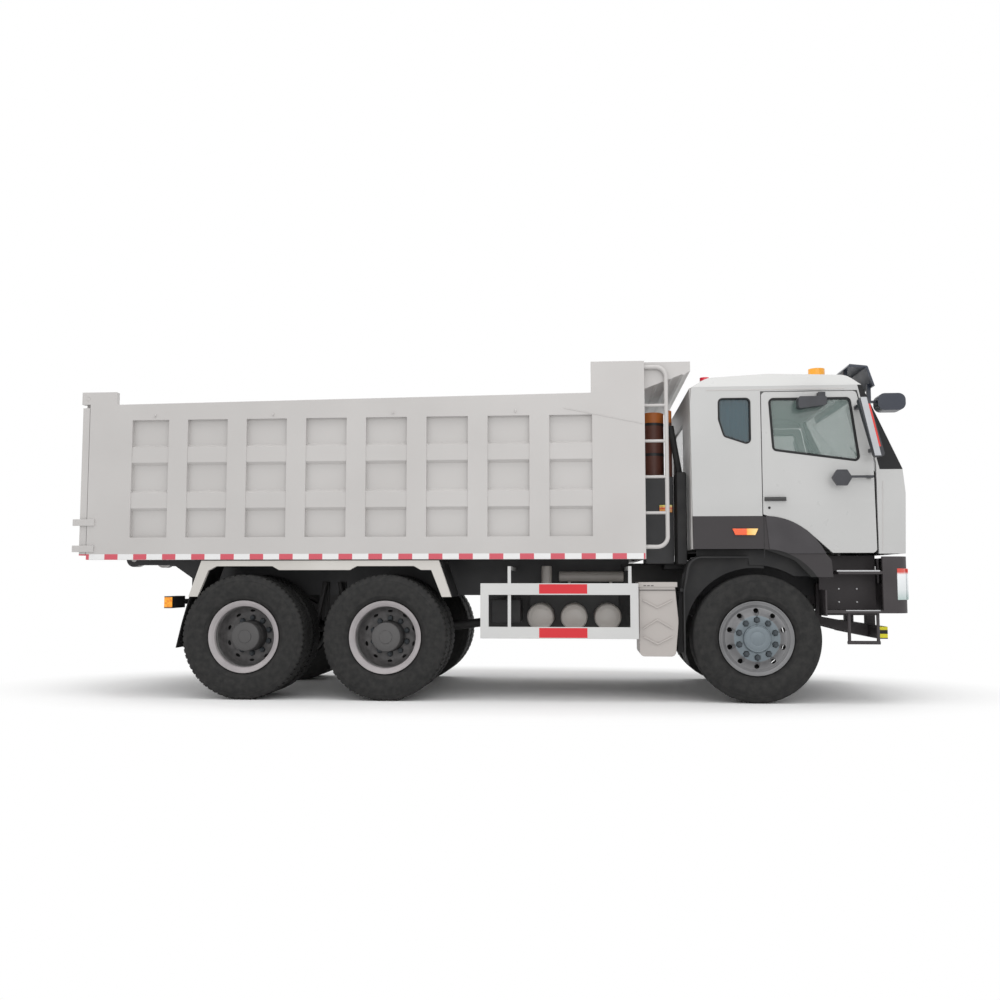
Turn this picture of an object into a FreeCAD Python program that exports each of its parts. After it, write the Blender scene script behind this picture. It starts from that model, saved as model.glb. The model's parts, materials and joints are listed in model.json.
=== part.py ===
import FreeCAD, Part
import Sketcher
import math
import operator
import os

# Three-axle dump truck, driver's cab over the engine.  Millimetres; +X is the way it
# drives, +Y its left side, +Z up.  X = 0 is halfway along the truck, Z = 0 is the road.
# Sizes across the truck are measured outward from the middle plane.

Vector = FreeCAD.Vector
doc = FreeCAD.newDocument("DumpTruck")
sheet = doc.addObject("Spreadsheet::Sheet", "Dims")


# ---------------------------------------------------------------- driving dimensions

DIMENSIONS = [
    # axles and wheels
    ("front_axle_x", 2485, "middle of the steered axle"),
    ("bogie_spacing", 1330, "between the two driven axles"),
    ("front_wheelbase", 3370, "from the first driven axle to the steered axle"),
    ("tyre_radius", 575, "tyre, unloaded"),
    ("tyre_width", 315, "tyre, wall to wall"),
    ("tread_half", 125, "half the flat width of the tread"),
    ("shoulder_drop", 22, "tread down to the shoulder's edge"),
    ("wall_bulge_radius", 455, "radius where the side wall is widest"),
    ("rim_radius", 306, "rim well, outside"),
    ("rim_wall", 20, "thickness of the rim"),
    ("flange_radius", 335, "rim flange"),
    ("flange_width", 16, "rim flange"),
    ("rim_half", 118, "half the width of the rim"),
    ("fit_gap", 0.3, "between round faces that fit in each other"),
    ("running_gap", 6, "between pieces that move past each other"),
    ("overlap", 5, "joined pieces and cutters run this far past each other"),
    ("front_tyre_y", 1017, "middle of a steered tyre"),
    ("twin_outer_y", 1092, "middle of an outer twin tyre"),
    ("twin_inner_y", 747, "middle of an inner twin tyre"),
    ("drum_radius", 205, "brake drum"),
    ("disc_plate", 18, "thickness of the wheel's disc"),
    ("hand_hole_radius", 17, "hand holes in the wheel's disc"),
    ("hand_hole_circle", 240, "circle of the hand holes"),
    ("hand_holes", 10, "hand holes in a wheel's disc"),
    ("nut_face_radius", 206, "flat face of a disc under its nuts"),
    ("disc_rise", 23, "a steered wheel's disc beyond its rim"),
    ("disc_set_in", 27, "root of a steered wheel's disc inside its rim"),
    ("hub_cap_radius", 124, "steered wheel's hub cap"),
    ("hub_cap_rise", 34, "steered wheel's hub cap beyond its disc"),
    ("hub_bore_depth", 28, "web of the hub's cap inside the disc's face"),
    ("twin_hub_radius", 138, "cast hub of the twin wheels"),
    ("twin_hub_inset", 36, "end of the twin wheels' hub inside the outer rim"),
    ("dish_slope", 60, "a dished disc's slope along the axle"),
    # steered axle
    ("kingpin_y", 930, "kingpin"),
    ("kingpin_radius", 25, "kingpin"),
    ("kingpin_half", 130, "half the length of the kingpin"),
    ("eye_radius", 46, "eye at the end of the axle beam"),
    ("eye_half", 55, "half the height of the beam's eye"),
    ("beam_half_depth", 50, "half the depth of the axle beam"),
    ("beam_half_width", 45, "half the width of the axle beam"),
    ("beam_drop", 70, "middle of the beam below the wheels' centres"),
    ("beam_knee_y", 620, "where the beam starts to rise to its eye"),
    ("beam_pad", 12, "spring pads and eyes' edges"),
    ("spindle_radius", 40, "stub axle in the wheel's hub"),
    ("knuckle_web_in", 985, "inner face of the knuckle's web"),
    ("knuckle_web_out", 1005, "outer face of the knuckle's web"),
    ("knuckle_web_half", 75, "half the width of the knuckle's web"),
    ("stub_reach", 65, "stub axle beyond the middle of its tyre"),
    ("steer_arm_reach", 190, "steering arm behind the kingpin"),
    ("steer_arm_y", 850, "ball joint of the tie rod"),
    ("steer_arm_plate", 30, "thickness of a steering arm"),
    ("tie_rod_radius", 18, "tie rod"),
    ("tie_rod_set_in", 25, "tie rod's pin inside the steering arm's end"),
    ("tie_rod_pin", 12, "pin of the tie rod in the left-hand steering arm"),
    ("axle_tube_radius", 78, "tube of a driven axle"),
    ("twin_spindle_radius", 62, "end of a driven axle in the wheels' hub"),
    ("twin_spindle_reach", 200, "that end beyond the middle of the inner tyre"),
    ("banjo_radius", 205, "final drive of a driven axle"),
    ("banjo_rear", 150, "rear of the final drive behind the axle"),
    ("banjo_front", 130, "front of the final drive before the axle"),
    ("axle_nose_radius", 95, "input of a driven axle"),
    ("axle_tail_radius", 80, "through-drive of a driven axle"),
    ("axle_nose_rise", 30, "input above the axle's middle"),
    ("spring_half", 780, "half the length of a front spring"),
    ("spring_eye_z", 852, "ends of a front spring"),
    ("spring_leaf", 28, "thickness of a front spring at its ends"),
    ("spring_bend_z", 730, "under side of a front spring at mid-length"),
    ("spring_pack_z", 660, "under side of a front spring beside its seat"),
    ("spring_top", 740, "top of a front spring over the beam"),
    ("spring_seat_half", 80, "half the length of a spring's seat"),
    ("spring_hanger_half", 45, "half the length of a spring's hanger"),
    ("bogie_pad_half", 90, "half the length of the bogie spring's pads"),
    ("bogie_leaf", 45, "thickness of the bogie spring over an axle"),
    ("bogie_spring_low", 730, "under side of the bogie spring's middle"),
    ("bogie_spring_high", 870, "top of the bogie spring's middle"),
    ("bogie_saddle_half", 150, "half the length of the bogie spring's saddle"),
    # ladder frame
    ("rail_out", 430, "outer face of a chassis rail"),
    ("rail_in", 350, "inner edge of a chassis rail's flange"),
    ("rail_web", 9, "thickness of a chassis rail"),
    ("rail_bottom", 950, "under side of the rails"),
    ("rail_top", 1250, "top of the rails"),
    ("rail_front_x", 3560, "front end of the rails"),
    ("rail_tail_x", -3213, "rear end of the rails, top"),
    ("rail_taper_x", -3020, "rear end of the rails, bottom"),
    ("rail_taper_z", 1119, "where the tail's taper ends"),
    ("cross_radius", 55, "tubular cross-members"),
    ("cross_drop", 40, "cross-members under the rails' upper flange"),
    ("cross_tail_x", -2890, "cross-member at the tail"),
    ("cross_middle_x", -330, "cross-member before the bogie"),
    ("cross_tank_x", 620, "cross-member between the tanks"),
    ("cross_gearbox_x", 1380, "cross-member behind the gearbox"),
    ("cross_front_x", 3420, "cross-member under the radiator"),
    ("cradle_half", 40, "half the height of the cylinder's cradle"),
    ("cradle_room", 10, "between the cylinder's barrel and the cradle's beam"),
    ("cradle_beam", 60, "cradle's beam along the truck"),
    ("cradle_ear_in", 60, "inner face of a cradle's ear"),
    ("cradle_ear_out", 100, "outer face of a cradle's ear"),
    ("tow_plate_x", -3012, "rear face of the towing plate"),
    ("tow_plate", 16, "thickness of the towing plate"),
    ("tow_plate_tall", 230, "height of the towing plate"),
    ("tow_z", 1040, "middle of the coupling's bolt pattern"),
    ("tow_hole_radius", 10.5, "coupling's bolt holes"),
    ("tow_spacing_y", 160, "coupling's bolt holes, across"),
    ("tow_spacing_z", 100, "coupling's bolt holes, upright"),
    # tipping subframe
    ("subframe_top", 1370, "top of the tipping subframe"),
    ("subframe_front_x", 1380, "front end of the subframe"),
    ("tie_half", 40, "half the length of a subframe's tie"),
    ("tie_inset", 10, "subframe's ties inside its rails"),
    ("tie_rear_x", -3180, "rearmost tie of the subframe"),
    ("tie_bogie_x", -1550, "tie over the bogie"),
    ("tie_middle_x", -200, "tie before the bogie"),
    ("tie_front_x", 1300, "tie at the front"),
    ("pivot_x", -3635, "axis the bed tips about"),
    ("pivot_z", 1310, "axis the bed tips about"),
    ("pivot_radius", 28, "tipping pin"),
    ("pivot_lug_radius", 78, "lugs round the tipping pin"),
    ("lug_width", 44, "a lug of the bed along the pin"),
    # bed
    ("bed_rear_x", -3742, "rear end of the bed's sides"),
    ("bed_front_x", 1502, "front face of the headboard"),
    ("bed_bottom", 1289, "lower edge of the bed's sides"),
    ("bed_rim_rear", 2761, "top rail at the tailgate"),
    ("bed_rim_front", 2815, "top rail at the front plate"),
    ("bed_out", 1235, "outer face of the bed's ribs"),
    ("bed_panel_out", 1193, "outer face of the recessed panels"),
    ("bed_in", 1165, "inner face of the bed's sides"),
    ("floor_bottom", 1500, "under side of the bed's floor"),
    ("floor_plate", 12, "thickness of the bed's floor"),
    ("bay_rear_x", -3322, "rear end of the ribbed bays"),
    ("bay_front_x", 1023, "front end of the ribbed bays"),
    ("bay_bottom", 1498, "top of the bottom rail"),
    ("bay_top", 2611, "under side of the top rail"),
    ("rib_first_x", -2874, "middle of the rearmost rib"),
    ("rib_pitch", 569, "between ribs"),
    ("rib_width", 185, "a rib along the bed"),
    ("ribs", 7, "ribs of a side"),
    ("rim_step_back", 9, "raised front plate over the front end of the bays"),
    ("stiffener_low", 1748, "lower edge of the lower stiffener"),
    ("stiffener_high", 2180, "lower edge of the upper stiffener"),
    ("stiffener_tall", 196, "height of a stiffener"),
    ("stiffener_slope", 26, "sloping edge of a stiffener"),
    ("stiffener_out", 1227, "outer face of a stiffener"),
    ("front_plate_top", 3103, "top of the raised front plates"),
    ("headboard_plate", 12, "thickness of the headboard's plate"),
    ("headboard_depth", 60, "headboard with its ribs"),
    ("headboard_rib", 70, "width of a headboard's rib"),
    ("headboard_rib_first", 160, "inner edge of the innermost ribs"),
    ("headboard_rib_pitch", 450, "between the headboard's ribs"),
    ("headboard_ribs", 3, "ribs on each half of the headboard"),
    ("headboard_rail", 90, "height of a headboard's rail"),
    ("headboard_rail_middle", 2140, "under side of the middle rail"),
    ("headboard_rail_high", 2810, "under side of the upper rail"),
    ("canopy_x", 1925, "front edge of the canopy over the cab"),
    ("canopy_band", 89, "height of the canopy's band"),
    ("canopy_root_z", 2858, "where the canopy's gussets meet the headboard"),
    ("canopy_sheet", 12, "thickness of the canopy"),
    ("canopy_fold", 45, "a fold of the corrugated sheet under the canopy"),
    ("canopy_folds", 4, "folds of the sheet under the canopy"),
    ("sill_front_x", 1440, "front end of the bed's long sills"),
    ("sill_rear_x", -3500, "rear end of the bed's long sills"),
    ("bearer_depth", 95, "cross bearers under the floor"),
    ("bearer_width", 70, "cross bearers along the bed"),
    ("bearer_pitch", 569, "between cross bearers"),
    ("bearer_first_x", -3274, "rear face of the rearmost cross bearer"),
    ("bearers", 9, "cross bearers"),
    ("lug_foot_front", 170, "foot of a tipping lug before its pin"),
    ("lug_foot_rear", 70, "foot of a tipping lug behind its pin"),
    # bed ladder
    ("ladder_x", 1700, "upright of the ladder"),
    ("ladder_top", 3050, "middle of the ladder's top bend"),
    ("ladder_bottom", 1400, "middle of the ladder's bottom bend"),
    ("ladder_tube", 19, "radius of the ladder's tube"),
    ("ladder_gap", 8, "between the ladder's tube and the headboard's edge"),
    ("ladder_bend", 95, "radius of the ladder's bends"),
    ("rung_radius", 14, "radius of the rungs"),
    ("rung_low", 1709, "lowest rung"),
    ("rung_pitch", 329, "between rungs"),
    ("rungs", 4, "rungs of the ladder"),
    # tailgate
    ("gate_thickness", 66, "tailgate with its frame"),
    ("gate_skin", 14, "thickness of the tailgate's skin"),
    ("gate_rail", 110, "width of the tailgate's rails and posts"),
    ("gate_rail_low", 1790, "under side of the lower middle rail"),
    ("gate_rail_high", 2230, "under side of the upper middle rail"),
    ("gate_post_y", 410, "inner edge of the middle posts"),
    ("gate_out", 1229, "edge of the tailgate"),
    ("gate_bottom", 1330, "lower edge of the tailgate"),
    ("gate_top", 2735, "upper edge of the tailgate"),
    ("gate_pin_x", -3765, "axis the tailgate swings about"),
    ("gate_pin_z", 2822, "axis the tailgate swings about"),
    ("gate_pin_radius", 20, "tailgate's pins"),
    ("gate_arm_radius", 36, "arm round the pin"),
    ("gate_arm_in", 1120, "inner face of the tailgate's arms"),
    ("gate_arm_out", 1164, "outer face of the tailgate's arms"),
    ("hinge_box_front", -3485, "front end of the hinge box"),
    ("hinge_box_rear", -3825, "rear end of the hinge box"),
    ("hinge_box_top", 2886, "top of the hinge box"),
    ("hinge_box_root", 40, "hinge box down into the top rail"),
    ("hinge_box_under", 55, "hinge box under the pin, clear of the swinging tailgate"),
    ("hook_rear_x", -3875, "rear end of the latch hooks"),
    ("hook_front_x", -3665, "front end of the latch hooks"),
    ("hook_plate", 14, "thickness of the latch hooks"),
    ("hook_height", 62, "height of a latch hook"),
    ("hook_low_z", 1362, "lower edge of the lower hook"),
    ("hook_high_z", 1610, "lower edge of the upper hook"),
    # hoist
    ("hoist_x", 1680, "middle of the tipping cylinder"),
    ("hoist_pin_z", 1100, "base pin of the cylinder"),
    ("hoist_pin_radius", 30, "base pin of the cylinder"),
    ("hoist_bottom", 1145, "bottom of the barrel's tube"),
    ("hoist_length", 1190, "length of the barrel and of each stage"),
    ("hoist_barrel_radius", 72, "barrel"),
    ("hoist_wall", 7, "wall of the barrel and of each stage"),
    ("hoist_foot", 25, "thickness of the barrel's foot"),
    ("hoist_eye_radius", 50, "eye of the barrel round its pin"),
    ("hoist_eye_half", 40, "half the width of the barrel's eye"),
    ("hoist_pin_half", 105, "half the length of the base pin"),
    ("hoist_cap", 40, "cap of the outer cover over the tubes"),
    ("hoist_cover_radius", 86, "outer cover that hangs from the last stage"),
    ("trunnion_z", 1400, "pins of the outer cover"),
    ("trunnion_radius", 28, "pins of the outer cover"),
    ("trunnion_out", 140, "end of the outer cover's pins"),
    ("bracket_width", 32, "a bracket on the headboard"),
    ("bracket_half", 62, "half the height of a bracket"),
    # engine and drive
    ("engine_rear_x", 2060, "rear face of the engine"),
    ("engine_front_x", 3120, "front face of the engine"),
    ("engine_half", 325, "half the width of the engine"),
    ("engine_bottom", 720, "sump"),
    ("engine_top", 1335, "rocker cover"),
    ("engine_pad_half", 50, "half the length of an engine mount"),
    ("engine_pad_inset", 140, "engine mounts from the engine's ends"),
    ("engine_pad_low", 1080, "under side of the engine mounts"),
    ("engine_pad_high", 1140, "top of the engine mounts"),
    ("gearbox_low", 150, "bottom of the gearbox under its output"),
    ("gearbox_high", 250, "top of the gearbox over its output"),
    ("silencer_rear_x", 1450, "rear face of the exhaust silencer"),
    ("silencer_front_x", 1780, "front face of the exhaust silencer"),
    ("silencer_in", 560, "inner face of the exhaust silencer"),
    ("silencer_out", 1110, "outer face of the exhaust silencer"),
    ("silencer_bottom", 470, "bottom of the exhaust silencer"),
    ("silencer_top", 1010, "top of the exhaust silencer"),
    ("silencer_corner", 80, "rounding of the silencer's long edges"),
    ("tank_arm_half", 40, "half the width of the arms that carry tanks and silencer"),
    ("tank_arm_reach", 60, "how far those arms reach past the rail's under side"),
    ("gearbox_rear_x", 1850, "output flange of the gearbox"),
    ("gearbox_half", 190, "half the width of the gearbox"),
    ("shaft_radius", 45, "propeller shafts"),
    ("axle_nose", 260, "flanges of a driven axle ahead of and behind its middle"),
    ("shaft_joint", 6, "room for the leaning shaft's joints"),
    ("output_z", 900, "output of the gearbox"),
    # cab tilt
    ("tilt_x", 3745, "axis the cab tilts about"),
    ("tilt_z", 880, "axis the cab tilts about"),
    ("tilt_pin_radius", 18, "pins of the cab tilt"),
    ("tilt_eye_radius", 40, "eye of a tilt arm"),
    ("tilt_arm_root", 150, "root of the cab's tilt arms"),
    ("tilt_arm_in", 286, "inner face of a tilt arm"),
    ("tilt_arm_out", 344, "outer face of a tilt arm"),
    # bumper and steps
    ("bumper_front_x", 3832, "front face of the bumper"),
    ("bumper_rear_x", 3588, "rear end of the bumper's corner"),
    ("bumper_bottom", 805, "lower edge of the bumper"),
    ("bumper_top", 1310, "upper edge of the bumper"),
    ("bumper_wall", 40, "thickness of the bumper"),
    ("bumper_corner", 150, "rounding of the bumper's corners"),
    ("lamp_in", 800, "inner end of a headlamp"),
    ("lamp_out", 1130, "outer end of a headlamp"),
    ("lamp_low", 919, "lower edge of a headlamp"),
    ("lamp_high", 1208, "upper edge of a headlamp"),
    ("lamp_recess", 12, "how deep a headlamp's face lies"),
    ("grille_half", 240, "half the width of the bumper's air slots"),
    ("grille_low", 900, "lowest air slot"),
    ("grille_slot", 50, "height of an air slot"),
    ("grille_pitch", 95, "between air slots"),
    ("grille_slots", 4, "air slots in the bumper"),
    ("beam_half_y", 820, "half the width of the under-run beam"),
    ("beam_front_x", 3725, "front face of the under-run beam"),
    ("beam_rear_x", 3640, "rear face of the under-run beam"),
    ("beam_low", 560, "under side of the under-run beam"),
    ("beam_high", 672, "top of the under-run beam"),
    ("brace_rear_x", 3160, "rear end of the under-run beam's braces"),
    ("brace_high", 760, "top of the under-run beam's braces"),
    ("brace", 50, "thickness of a brace"),
    ("brace_tall", 75, "height of a brace"),
    ("horn_low", 60, "under side of the cab's tilt horns below the axis"),
    ("horn_high", 120, "top of the tilt horns over the rails' under side"),
    ("body_half", 1190, "half the width of cab, bumper and steps"),
    ("step_rear_x", 3085, "rear wall of the step well"),
    ("step_in", 940, "inner wall of the step well"),
    ("step_wall", 15, "walls of the step well"),
    ("step_bottom", 780, "bottom of the step well"),
    ("step_top", 1322, "top of the step well"),
    ("step_back_top", 1011, "top of the step well's rear wall"),
    ("step_arm_x", 3480, "middle of the arm that carries the steps"),
    ("step_arm_half", 40, "half the width of that arm"),
    ("step_arm_z", 1000, "middle of that arm"),
    ("tread_high", 1180, "upper step"),
    ("tread_high_x", 3203, "rear end of the upper step"),
    ("tread_low", 833, "lower step"),
    ("tread_thickness", 28, "thickness of a step"),
    ("loop_rear_x", 3292, "rear leg of the hanging step"),
    ("loop_front_x", 3543, "front leg of the hanging step"),
    ("loop_bottom", 545, "tread tube of the hanging step"),
    ("loop_tube", 16, "radius of the hanging step's tube"),
    ("loop_inset", 30, "hanging step inside the steps' edge"),
    # mudguards, fenders and flaps
    ("guard_in", 862, "inner edge of the front mudguards"),
    ("guard_x", 1848, "front face of the front mudguards"),
    ("guard_sheet", 12, "thickness of the front mudguards"),
    ("guard_bottom", 340, "lower edge of the front mudguards"),
    ("guard_top", 1300, "upper edge of the front mudguards"),
    ("guard_knee_z", 440, "where the mudguard's tail leans back"),
    ("guard_shoulder_z", 1000, "where the mudguard leans over the tyre"),
    ("guard_tail", 34, "how far the mudguard's tail leans"),
    ("guard_lean", 62, "how far the mudguard's shoulder leans"),
    ("guard_front_x", 2420, "front end of the mudguard over the tyre"),
    ("guard_round", 120, "rounding of the mudguard's bends"),
    ("guard_inset", 8, "mudguard inside the cab's side"),
    ("guard_stay", 16, "radius of the mudguard's stays"),
    ("guard_stay_z", 1010, "lower stay of the mudguard"),
    ("guard_stay_x", 2200, "upper stay of the mudguard, along the truck"),
    ("guard_stay_high", 1225, "upper stay of the mudguard"),
    ("guard_stay_foot", 40, "foot of the upper stay on the mudguard"),
    ("fender_rear_x", -2627, "rear end of the rear fender's top"),
    ("fender_front_x", -387, "front end of the rear fender's top"),
    ("fender_top", 1280, "top of the rear fender"),
    ("fender_tall", 88, "height of the rear fender's rim"),
    ("fender_leg_z", 945, "lower end of the fender's legs"),
    ("fender_leg_reach", 117, "how far a leg leans out"),
    ("fender_arch_rise", 36, "arches over the tyres in the fender's rim"),
    ("fender_arch_half", 267, "half the length of an arch"),
    ("fender_arch_ramp", 65, "sloping end of an arch"),
    ("fender_in", 600, "inner edge of the rear fender"),
    ("fender_rim_in", 10, "fender's rim inside the body's width"),
    ("fender_rim_out", 30, "fender's rim outside the body's width"),
    ("fender_cover", 14, "thickness of the fender's cover"),
    ("fender_stay", 22, "radius of the fender's stays"),
    ("fender_stay_inset", 80, "end stays inside the fender's top"),
    ("fender_stay_drop", 34, "stays under the fender's top"),
    ("flap_sheet", 12, "thickness of a mud flap"),
    ("flap_lean", 108, "how far a mud flap's foot hangs back"),
    ("flap_inset", 30, "mud flap's inner edge inside the fender's"),
    ("flap_low", 469, "lower edge of the mud flaps"),
    ("lamp_bar_x", -2947, "middle of the tail-lamp bar"),
    ("lamp_bar_z", 892, "middle of the tail-lamp bar"),
    ("lamp_bar", 24, "half the depth of the tail-lamp bar"),
    ("tail_lamp_in", 880, "inner end of a tail lamp"),
    ("tail_lamp_out", 1195, "outer end of a tail lamp"),
    ("tail_lamp_deep", 39, "half the depth of a tail lamp"),
    ("tail_lamp_half", 56, "half the height of a tail lamp"),
    # side guards and what hangs on the rails
    ("side_guard_rear_x", -3, "rear end of the side guards"),
    ("side_guard_front_x", 1430, "front end of the side guards"),
    ("side_guard_bottom", 570, "lower edge of the side guards"),
    ("side_guard_top", 1070, "upper edge of the side guards"),
    ("side_guard_rail", 105, "height of a guard's rail"),
    ("side_guard_post", 75, "width of a guard's post"),
    ("side_guard_in", 1190, "inner face of the side guards"),
    ("side_guard_out", 1220, "outer face of the side guards"),
    ("guard_hanger_rear_x", 261, "rear hanger of a side guard"),
    ("guard_hanger_front_x", 1354, "front hanger of a side guard"),
    ("guard_hanger", 15, "half the width of a hanger"),
    ("guard_arm_low", 1190, "under side of a hanger's arm"),
    ("guard_arm_high", 1225, "top of a hanger's arm"),
    ("guard_inner_post", 20, "thickness of the post behind the guard's window"),
    ("air_tank_radius", 125, "air tanks"),
    ("air_tank_first_x", 533, "rearmost air tank"),
    ("air_tank_pitch", 314, "between air tanks"),
    ("air_tank_z", 757, "middle of the air tanks"),
    ("air_tank_out", 1000, "domed end of the air tanks"),
    ("air_tanks", 3, "air tanks"),
    ("air_tank_dome", 60, "how far an air tank's end is domed"),
    ("tank_hanger", 40, "thickness of the tanks' hanger plate"),
    ("tank_hanger_end", 120, "hanger plate past the outer tanks' middles"),
    ("tank_hanger_low", 140, "hanger plate under the tanks' middle"),
    ("box_rear_x", 1440, "rear face of the battery box"),
    ("box_front_x", 1791, "front face of the battery box"),
    ("box_bottom", 411, "bottom of the battery box"),
    ("box_top", 1081, "top of the battery box's lid"),
    ("box_out", 1150, "outer face of the battery box"),
    ("box_in", 640, "inner face of the battery box"),
    ("box_lid", 45, "height of the battery box's lid"),
    ("box_bow", 28, "how far the box's front bows out"),
    ("box_corner", 45, "rounding of the box's lower corners"),
    ("box_lip", 8, "lid beyond the box"),
    ("fuel_rear_x", 90, "rear end of the fuel tank"),
    ("fuel_front_x", 1330, "front end of the fuel tank"),
    ("fuel_bottom", 520, "bottom of the fuel tank"),
    ("fuel_top", 1075, "top of the fuel tank"),
    ("fuel_in", 490, "inner face of the fuel tank"),
    ("fuel_out", 1130, "outer face of the fuel tank"),
    ("fuel_corner", 90, "rounding of the fuel tank's long edges"),
    ("fuel_bracket_inset", 220, "brackets from the fuel tank's ends"),
    ("cleaner_x", 1618, "middle of the air cleaner"),
    ("cleaner_y", 560, "middle of the air cleaner"),
    ("cleaner_radius", 108, "air cleaner"),
    ("cleaner_top", 2718, "top of the air cleaner"),
    ("intake_radius", 34, "intake pipe beside the air cleaner"),
    ("intake_inset", 36, "intake pipe behind the oil tank's front face"),
    ("intake_y", 740, "middle of the intake pipe"),
    ("oil_rear_x", 1524, "rear face of the hydraulic oil tank"),
    ("oil_front_x", 1790, "front face of the hydraulic oil tank"),
    ("oil_in", 400, "inner face of the hydraulic oil tank"),
    ("oil_out", 820, "outer face of the hydraulic oil tank"),
    ("oil_bottom", 1262, "bottom of the hydraulic oil tank"),
    ("oil_top", 2075, "top of the hydraulic oil tank"),
    # cab
    ("cab_rear_x", 1915, "back wall of the cab"),
    ("cab_wall", 40, "thickness of the cab's panels"),
    ("cab_rear_lean", 15, "how far the back wall's corners lean in"),
    ("cab_shoulder", 160, "where the back wall's corners start to lean in"),
    ("cab_sill", 1379, "lower edge of the cab's skirt"),
    ("cab_eave", 2860, "top of the side panels"),
    ("cab_front_sill", 1335, "lower edge of the front panel"),
    ("cab_nose_x", 3809, "foremost point of the front panel"),
    ("cab_nose_z", 1872, "foremost point of the front panel"),
    ("cab_chin_x", 3793, "lower edge of the front panel"),
    ("screen_base_x", 3788, "lower edge of the windscreen"),
    ("screen_base_z", 2094, "lower edge of the windscreen"),
    ("screen_top_x", 3448, "upper edge of the windscreen"),
    ("screen_inset", 30, "windscreen behind its pillars' front"),
    ("pillar_width", 70, "pillars beside the windscreen"),
    ("roof_rear_x", 2073, "where the roof's rear slope ends"),
    ("roof_rear_rise", 83, "rear end of the roof over the side panels"),
    ("roof_peak_x", 2620, "highest point of the roof"),
    ("roof_peak_rise", 113, "highest point of the roof over the side panels"),
    ("roof_front_x", 3315, "where the roof's front slope starts"),
    ("roof_front_rise", 92, "front end of the roof over the side panels"),
    ("roof_round", 200, "rounding of the roof's ends"),
    ("roof_crown_round", 600, "rounding of the roof's crown"),
    ("beacon_x", 3190, "middle of the warning beacon"),
    ("beacon_y", 600, "middle of the warning beacon"),
    ("beacon_radius", 77, "warning beacon"),
    ("beacon_rise", 266, "top of the warning beacon over the side panels"),
    ("dome_y", 1000, "middle of the marker dome"),
    ("dome_radius", 43, "marker dome"),
    ("dome_rise", 37, "top of the marker dome over the roof"),
    ("visor_rear", 98, "rear edge of the visor behind the screen's top"),
    ("visor_front", 140, "front edge of the visor before the screen's top"),
    ("visor_rise", 206, "top of the visor over the side panels"),
    ("visor_low", 0, "lower edge of the visor over the side panels"),
    ("visor_fall", 60, "how far the visor's bent front leans out"),
    ("visor_sheet", 18, "thickness of the visor"),
    ("visor_inset", 70, "end of the visor inside the cab's side"),
    ("visor_arm_y", 900, "arms of the visor"),
    ("nose_mirror_rear", 175, "front mirror's rear end before the screen's top"),
    ("nose_mirror_front", 422, "front mirror's front end before the screen's top"),
    ("nose_mirror_half", 78, "half the height of the front mirror"),
    ("nose_mirror_drop", 138, "middle of the front mirror under the side panels' top"),
    ("nose_mirror_y", 1000, "middle of the front mirror"),
    ("mirror_round", 30, "rounding of the mirrors' corners"),
    ("quarter_rear_x", 2166, "rear edge of the window behind a door"),
    ("quarter_front_x", 2460, "front edge of the window behind a door"),
    ("quarter_drop", 105, "window behind a door under the side panels' top"),
    ("quarter_tall", 441, "height of the window behind a door"),
    ("quarter_knee", 242, "where the window's rear edge bends"),
    ("quarter_heel", 47, "lower rear corner of the window, forward"),
    ("quarter_heel_rise", 85, "lower rear corner of the window, upward"),
    ("window_rounding", 45, "rounding of the windows' corners"),
    ("rear_window_half", 500, "half the width of the back wall's window"),
    ("rear_window_tall", 470, "height of the back wall's window"),
    ("rear_window_drop", 240, "back wall's window under the side panels' top"),
    ("cab_floor_bottom", 1400, "under side of the cab's floor"),
    ("cab_floor_plate", 40, "thickness of the cab's floor"),
    ("glass", 8, "thickness of the glass"),
    ("seat_y", 560, "middle of a seat"),
    ("seat_half", 250, "half the width of a seat"),
    ("seat_rear_x", 2540, "rear edge of a seat's cushion"),
    ("seat_length", 540, "length of a seat's cushion"),
    ("seat_base_top", 1640, "top of a seat's pedestal"),
    ("seat_base_inset", 30, "pedestal inside the cushion's edge"),
    ("seat_cushion", 150, "thickness of a seat's cushion"),
    ("seat_back", 140, "thickness of a seat's back"),
    ("seat_back_tall", 710, "height of a seat's back"),
    ("seat_lean", 112, "how far a seat's back leans"),
    ("dash_rear_x", 3420, "driver's edge of the dashboard"),
    ("dash_low", 1700, "under side of the dashboard"),
    ("dash_high", 2085, "top of the dashboard"),
    ("dash_lip", 85, "slope of the dashboard's top"),
    ("dash_inset", 80, "dashboard's ends inside the side panels"),
    ("steering_x", 3280, "middle of the steering wheel"),
    ("steering_z", 2000, "middle of the steering wheel"),
    ("steering_radius", 220, "steering wheel"),
    ("steering_grip", 15, "radius of the steering wheel's grip"),
    # doors
    ("door_rear_x", 2555, "rear edge of a door"),
    ("door_front_x", 3548, "front edge of a door, bottom"),
    ("door_bend_z", 2151, "where the door's front edge starts to lean"),
    ("door_bend_x", 3536, "where the door's front edge starts to lean"),
    ("door_corner_x", 3400, "upper front corner of a door"),
    ("door_drop", 55, "upper edge of a door under the side panels' top"),
    ("door_bottom", 1342, "lower edge of a door"),
    ("door_gap", 7, "gap round a door"),
    ("door_round", 40, "rounding of a door's corners"),
    ("door_bend_round", 200, "rounding of the bend in a door's front edge"),
    ("window_drop", 56, "door's window under its upper edge"),
    ("window_rear", 62, "door's window before its rear edge"),
    ("window_front", 52, "door's window behind its upper front corner"),
    ("window_sill_rear", 2266, "window sill at the rear"),
    ("window_sill_front", 2158, "window sill at the front"),
    ("handle_rear", 13, "rear end of the handle before the door's edge"),
    ("handle_long", 190, "length of the door handle"),
    ("handle_reach", 25, "how far the door handle stands out"),
    ("handle_z", 1810, "under side of the door handle"),
    ("handle_tall", 35, "height of the door handle"),
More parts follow.
